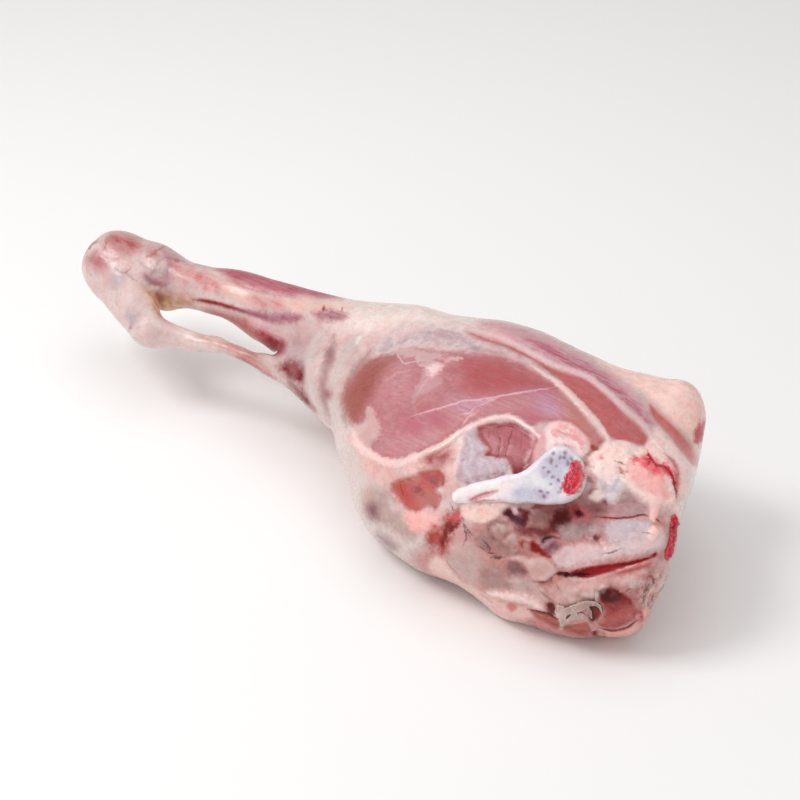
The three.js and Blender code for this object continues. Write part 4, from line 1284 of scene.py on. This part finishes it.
def sinkSockets(points, outward):           # the meat dips under the bones where they show
    across, down, depth = toPhoto(points)
    margin, edge = legMesh["socketMargin"], legMesh["socketEdge"]
    for name, shown in (("aitch_bone", legMesh["aitchShown"]), ("rump_bone", legMesh["rumpShown"])):
        low, high = (np.array(corner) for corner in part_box(name))
        close = np.nonzero(((points > low - margin) & (points < high + margin)).all(1))[0]
        sink = legMesh["socket"] * smooth(insideDepth(across, down, shown), -edge, edge)
        bone = cadCopy(name)
        pulled = grab(np.array([vert.co for vert in bone.verts]), legMesh["nudges"])
        for vert, spot in zip(bone.verts, pulled):
            vert.co = spot
        tree = BVHTree.FromBMesh(bone)
        bone.free()
        for i in close:
            spot, side, face, distance = tree.find_nearest(Vector(points[i]))
            points[i] -= outward[i] * sink[i] * (1 - smooth(distance, *legMesh["socketReach"]))
    return points


def makeLeg():
    piece = placeMesh("veal_leg", [cadCopy("leg"), cadCopy("aitch_bone", legMesh["swell"]),
                                   cadCopy("rump_bone", legMesh["swell"])])
    remesh(piece, legMesh["voxel"], legMesh["rounding"])
    refineSeen(piece)
    links = edges(piece)
    setPlaces(piece, grab(relax(places(piece), links, legMesh["relax"]), legMesh["nudges"]))
    points, outward = places(piece), normals(piece)
    views = sideViews(points, outward, links)
    across, down, seen = views["photo"]
    painted = paintLayers(views, legLayers)
    height = relief(painted, legLayers) + relief(paintLayers(views, legSculpt), legSculpt)
    rough = np.zeros(len(points))
    for share, outline in legMesh["rough"]:
        inside = smooth(insideDepth(across, down, outline), *legMesh["roughEdge"])
        rough = np.maximum(rough, share * inside * seen)
    lobed = np.nonzero(rough)[0]
    for i, (size, tall) in enumerate(legMesh["lumps"]):
        height += lumps(points, size, i + 1) * tall
    for i, (size, tall) in enumerate(legMesh["lobules"]):
        height[lobed] += lobules(points[lobed], size, i + 1) * tall * rough[lobed]
    points = points + outward * height[:, None]
    # depths for the painted shade in hollows, taken before the meat dips under the bones
    painted["hollow"] = hollows(points, outward, links)
    points = sinkSockets(points, outward)
    points[:, 2] = np.maximum(points[:, 2], 0)
    setPlaces(piece, points)
    finishPiece(piece, painted, legLayers, legSkin, "leg")
    return piece


leg = makeLeg()


# The split hip bone and the sawn bone at the rump

aitchLook = {
    "voxel": 0.0011, "rounding": 2, "relax": 2, "jagged": 0.0001, "sink": 0,
    "shown": legMesh["aitchShown"],
}

aitchSkin = {
    "colour": (240, 236, 240), "shade": (234, 230, 237), "blush": (242, 228, 232), "roughness": 0.34,
    "coat": 0.25, "specular": 0.3, "grain": 0.1, "film": 0.0, "filmColour": (255, 255, 255),
    # the hollow colour is laid into hollows as painted shade, the ridge colour over raised points as
    # painted highlight
    "hollow": (214, 190, 200), "ridgeHighlight": (252, 250, 250), "flush": (240, 214, 228), "veins": 0.0,
    "veinColour": (196, 124, 140),
}

aitchLayers = {
    "tailPink": {"colour": (252, 238, 236), "soft": 6, "ragged": 2, "photoAreas": [
        [(448, 496), (462, 486), (482, 482), (500, 480), (512, 482), (506, 500), (480, 506),
         (456, 506)]]},
    "coolBone": {"colour": (216, 215, 227), "shade": (202, 200, 215), "soft": 5, "ragged": 4,
        "photoAreas": [
        [(540, 462), (550, 452), (566, 450), (572, 458), (566, 470), (560, 484), (549, 485), (541, 474)],
        [(514, 490), (524, 488), (540, 488), (548, 494), (540, 502), (524, 502), (515, 497)]]},
    "spongyHaze": {"colour": (200, 188, 208), "soft": 5, "ragged": 5, "strength": 0.45, "photoAreas": [
        [(542, 466), (546, 456), (556, 450), (568, 450), (573, 456), (566, 466), (556, 474), (546, 474)],
        [(538, 492), (548, 488), (562, 488), (560, 496), (546, 499)]]},
    "spongySpots": {"colour": (128, 74, 98), "soft": 1.5, "ragged": 1.6, "strength": 0.75,
        "photoAreas": blobs(
        (553.6, 452.8, 2.0, 2.6), (565, 452.6, 2.4, 2.3), (551, 461, 1.8, 3.8), (559.8, 458, 1.8, 3.0),
        (564, 457.4, 1.9, 1.8), (544, 467.4, 2.1, 1.8), (549, 472, 1.9, 1.9), (568.2, 463, 1.7, 3.0),
        (571.6, 458.6, 2.0, 2.2), (552.8, 477, 1.8, 1.5), (551, 484, 1.7, 1.5), (540.8, 491, 2.0, 1.6),
        (544, 496, 1.8, 2.2), (547.6, 492.6, 1.9, 1.6), (559.8, 492, 2.1, 1.7),
        (561.4, 488.6, 1.5, 1.9), (556.4, 466, 1.4, 1.7), (558, 480, 1.3, 1.6))},
    "marrow": {"colour": (226, 38, 60), "shade": (198, 20, 42), "soft": 1.6, "ragged": 3.5,
        "lift": -0.3, "photoAreas": [
        [(563, 491), (563, 482), (567, 472), (572, 463), (576, 459), (581, 462), (584, 469), (585, 477),
         (582, 488), (573, 495), (567, 494)]]},
    "marrowLines": {"colour": (244, 160, 172), "soft": 0.9, "ragged": 2.4, "strength": 0.55,
        "photoStrokes": [
        (0.5, [(571, 463), (567, 473), (564, 484)]), (0.5, [(574, 462), (570, 474), (567, 490)]),
        (0.4, [(577, 466), (573, 478), (571, 493)]), (0.4, [(566, 486), (571, 480), (578, 476)]),
        (0.4, [(568, 493), (575, 489), (581, 483)])]},
    "marrowGrains": {"colour": (142, 8, 30), "soft": 2, "ragged": 3, "pores": 520, "strength": 0.5,
        "photoAreas": [
        [(564, 490), (564, 482), (568, 472), (574, 464), (580, 464), (582, 476), (576, 490)]]},
    "tailGroove": {"colour": (230, 164, 170), "soft": 2, "ragged": 1, "lift": -0.8, "photoAreas": [
        [(468, 500), (478, 494), (490, 491), (499, 490), (494, 494), (484, 497), (475, 501)]]},
    "tailRed": {"colour": (196, 104, 110), "soft": 1, "ragged": 1.5, "photoStrokes": [
        (0.8, [(470, 501), (480, 495), (490, 492)]), (0.9, [(470, 503), (484, 501), (497, 500)])]},
}

rumpLook = {
    "voxel": 0.0009, "rounding": 2, "relax": 1, "jagged": 0.0018, "sink": 0.004,
    "shown": legMesh["rumpShown"],
}

rumpSkin = {
    "colour": (206, 30, 54), "shade": (184, 14, 38), "blush": (226, 92, 104), "roughness": 0.4,
    "coat": 0.5, "specular": 0.2, "grain": 0.1, "film": 0.0, "filmColour": (255, 255, 255),
    # the hollow colour is laid into hollows as painted shade, the ridge colour over raised beads as painted
    # highlight
    "hollow": (180, 70, 84), "ridgeHighlight": (240, 120, 130), "flush": (255, 200, 200), "veins": 0.0,
    "veinColour": (196, 124, 126),
}

rumpLayers = {
    "rumpGrains": {"colour": (150, 14, 32), "soft": 3, "ragged": 3, "pores": 300, "strength": 0.5,
        "photoAreas": [
        [(660, 505), (690, 505), (692, 575), (660, 575)]],
        "rumpAreas": [[(-60, 0), (140, 0), (140, 160), (-60, 160)]]},
}

jags = {"size": 0.0045, "seed": 5, "edge": 2}           # m, and pixels between shown and hidden bone


def makeBone(name, node, look, skin, layers):
    piece = placeMesh(name, [cadCopy(node)])
    remesh(piece, look["voxel"], look["rounding"])
    setPlaces(piece, grab(relax(places(piece), edges(piece), look["relax"]), legMesh["nudges"]))
    points, outward = places(piece), normals(piece)
    painted = paintLayers(sideViews(points, outward, edges(piece)), layers)
    across, down, depth = toPhoto(points)
    hidden = 1 - smooth(insideDepth(across, down, look["shown"]), -jags["edge"], jags["edge"])
    jagged = look["jagged"] * lobules(points, jags["size"], jags["seed"])
    height = relief(painted, layers) + jagged - look["sink"] * hidden
    setPlaces(piece, points + outward * height[:, None])
    finishPiece(piece, painted, layers, skin, node)


makeBone("aitch_bone_sawn", "aitch_bone", aitchLook, aitchSkin, aitchLayers)
makeBone("rump_bone_sawn", "rump_bone", rumpLook, rumpSkin, rumpLayers)


# Torn membrane that hangs over the lower edge

scraps = {
    "thickness": 0.0005, "lowest": 0.0004,              # m, and the least height off the meat
    "across": 7, "steps": 6,                            # points across a strip, and steps from spot to spot
    "torn": 0.5, "tornScale": 0.45, "tornAcross": 3,    # how uneven the width is
    "ripple": 0.9, "rippleScale": 2.1,                  # mm, and radians a pixel
    "smoothing": 0.4,
    "colour": (202, 174, 163), "shade": (176, 146, 136), "blush": (224, 200, 190),
    "strips": [                             # pixel across, pixel down, half width in pixels, height in mm
        [(557, 605, 1.5, 1), (559, 609, 4.5, 2), (562, 616, 5.5, 3), (562, 623, 3, 2.5),
         (561, 628, 0.7, 1)],
        [(562, 613, 2.5, 2.5), (571, 610, 4, 3.5), (580, 607, 4.5, 4), (588, 604, 3, 4), (595, 604, 2, 3.5),
         (600, 608, 1.3, 2.5), (602, 613, 0.6, 1)],
        [(586, 605, 2.5, 2.5), (589, 611, 2, 2), (592, 619, 0.5, 1)],
        [(570, 621, 0.8, 1), (575, 618, 3, 2), (581, 616, 3.8, 2), (584, 619, 1.5, 1)],
        [(562, 626, 1.2, 2), (569, 620, 2.2, 3), (577, 613, 2.2, 3)],
        [(594, 590, 1, 1), (597, 594, 1.8, 1.8), (596, 600, 1.4, 1.5), (599, 603, 0.6, 0.8)]],
}


def tornStrip(path, tree):                  # a thin strip that stands a little off the meat
    line = curve(path, False, scraps["steps"])
    ahead = np.gradient(line[:, :2], axis=0)
    aside = np.stack([-ahead[:, 1], ahead[:, 0]], 1) / np.hypot(*ahead.T)[:, None]
    steps = np.linspace(-1, 1, scraps["across"])
    spots = [(row, side, step) for row, side in zip(line, aside) for step in steps]
    net = bmesh.new()
    bmesh.ops.create_grid(net, x_segments=len(steps) - 1, y_segments=len(line) - 1, size=1)
    for vert, ((x, y, width, height), side, step) in zip(net.verts, spots):
        uneven = noise.noise(Vector((x, y, scraps["tornAcross"] * step)) * scraps["tornScale"])
        reach = width * step * (1 + scraps["torn"] * uneven)
        px, py = x + side[0] * reach, y + side[1] * reach
        ray = viewRight * (px - middle) / focal + viewUp * (middle - py) / focal - viewBack
        spot, facing, face, distance = tree.ray_cast(Vector(eye), Vector(ray))
        lift = (height + scraps["ripple"] * math.sin(scraps["rippleScale"] * px) * step) / 1000
        vert.co = Vector(eye) + Vector(ray).normalized() * (distance - max(lift, scraps["lowest"]))
    bmesh.ops.smooth_vert(net, verts=net.verts, factor=scraps["smoothing"],
                          use_axis_x=True, use_axis_y=True, use_axis_z=True)
    bmesh.ops.solidify(net, geom=net.faces[:], thickness=scraps["thickness"])
    bmesh.ops.recalc_face_normals(net, faces=net.faces)
    return net


def makeMembrane():
    net = bmesh.new()
    net.from_mesh(leg.data)
    tree = BVHTree.FromBMesh(net)
    net.free()
    piece = placeMesh("torn_membrane", [tornStrip(path, tree) for path in scraps["strips"]])
    skin = dict(legSkin, colour=scraps["colour"], shade=scraps["shade"], blush=scraps["blush"])
    finishPiece(piece, {}, {}, skin, None)


makeMembrane()


print("scene done")
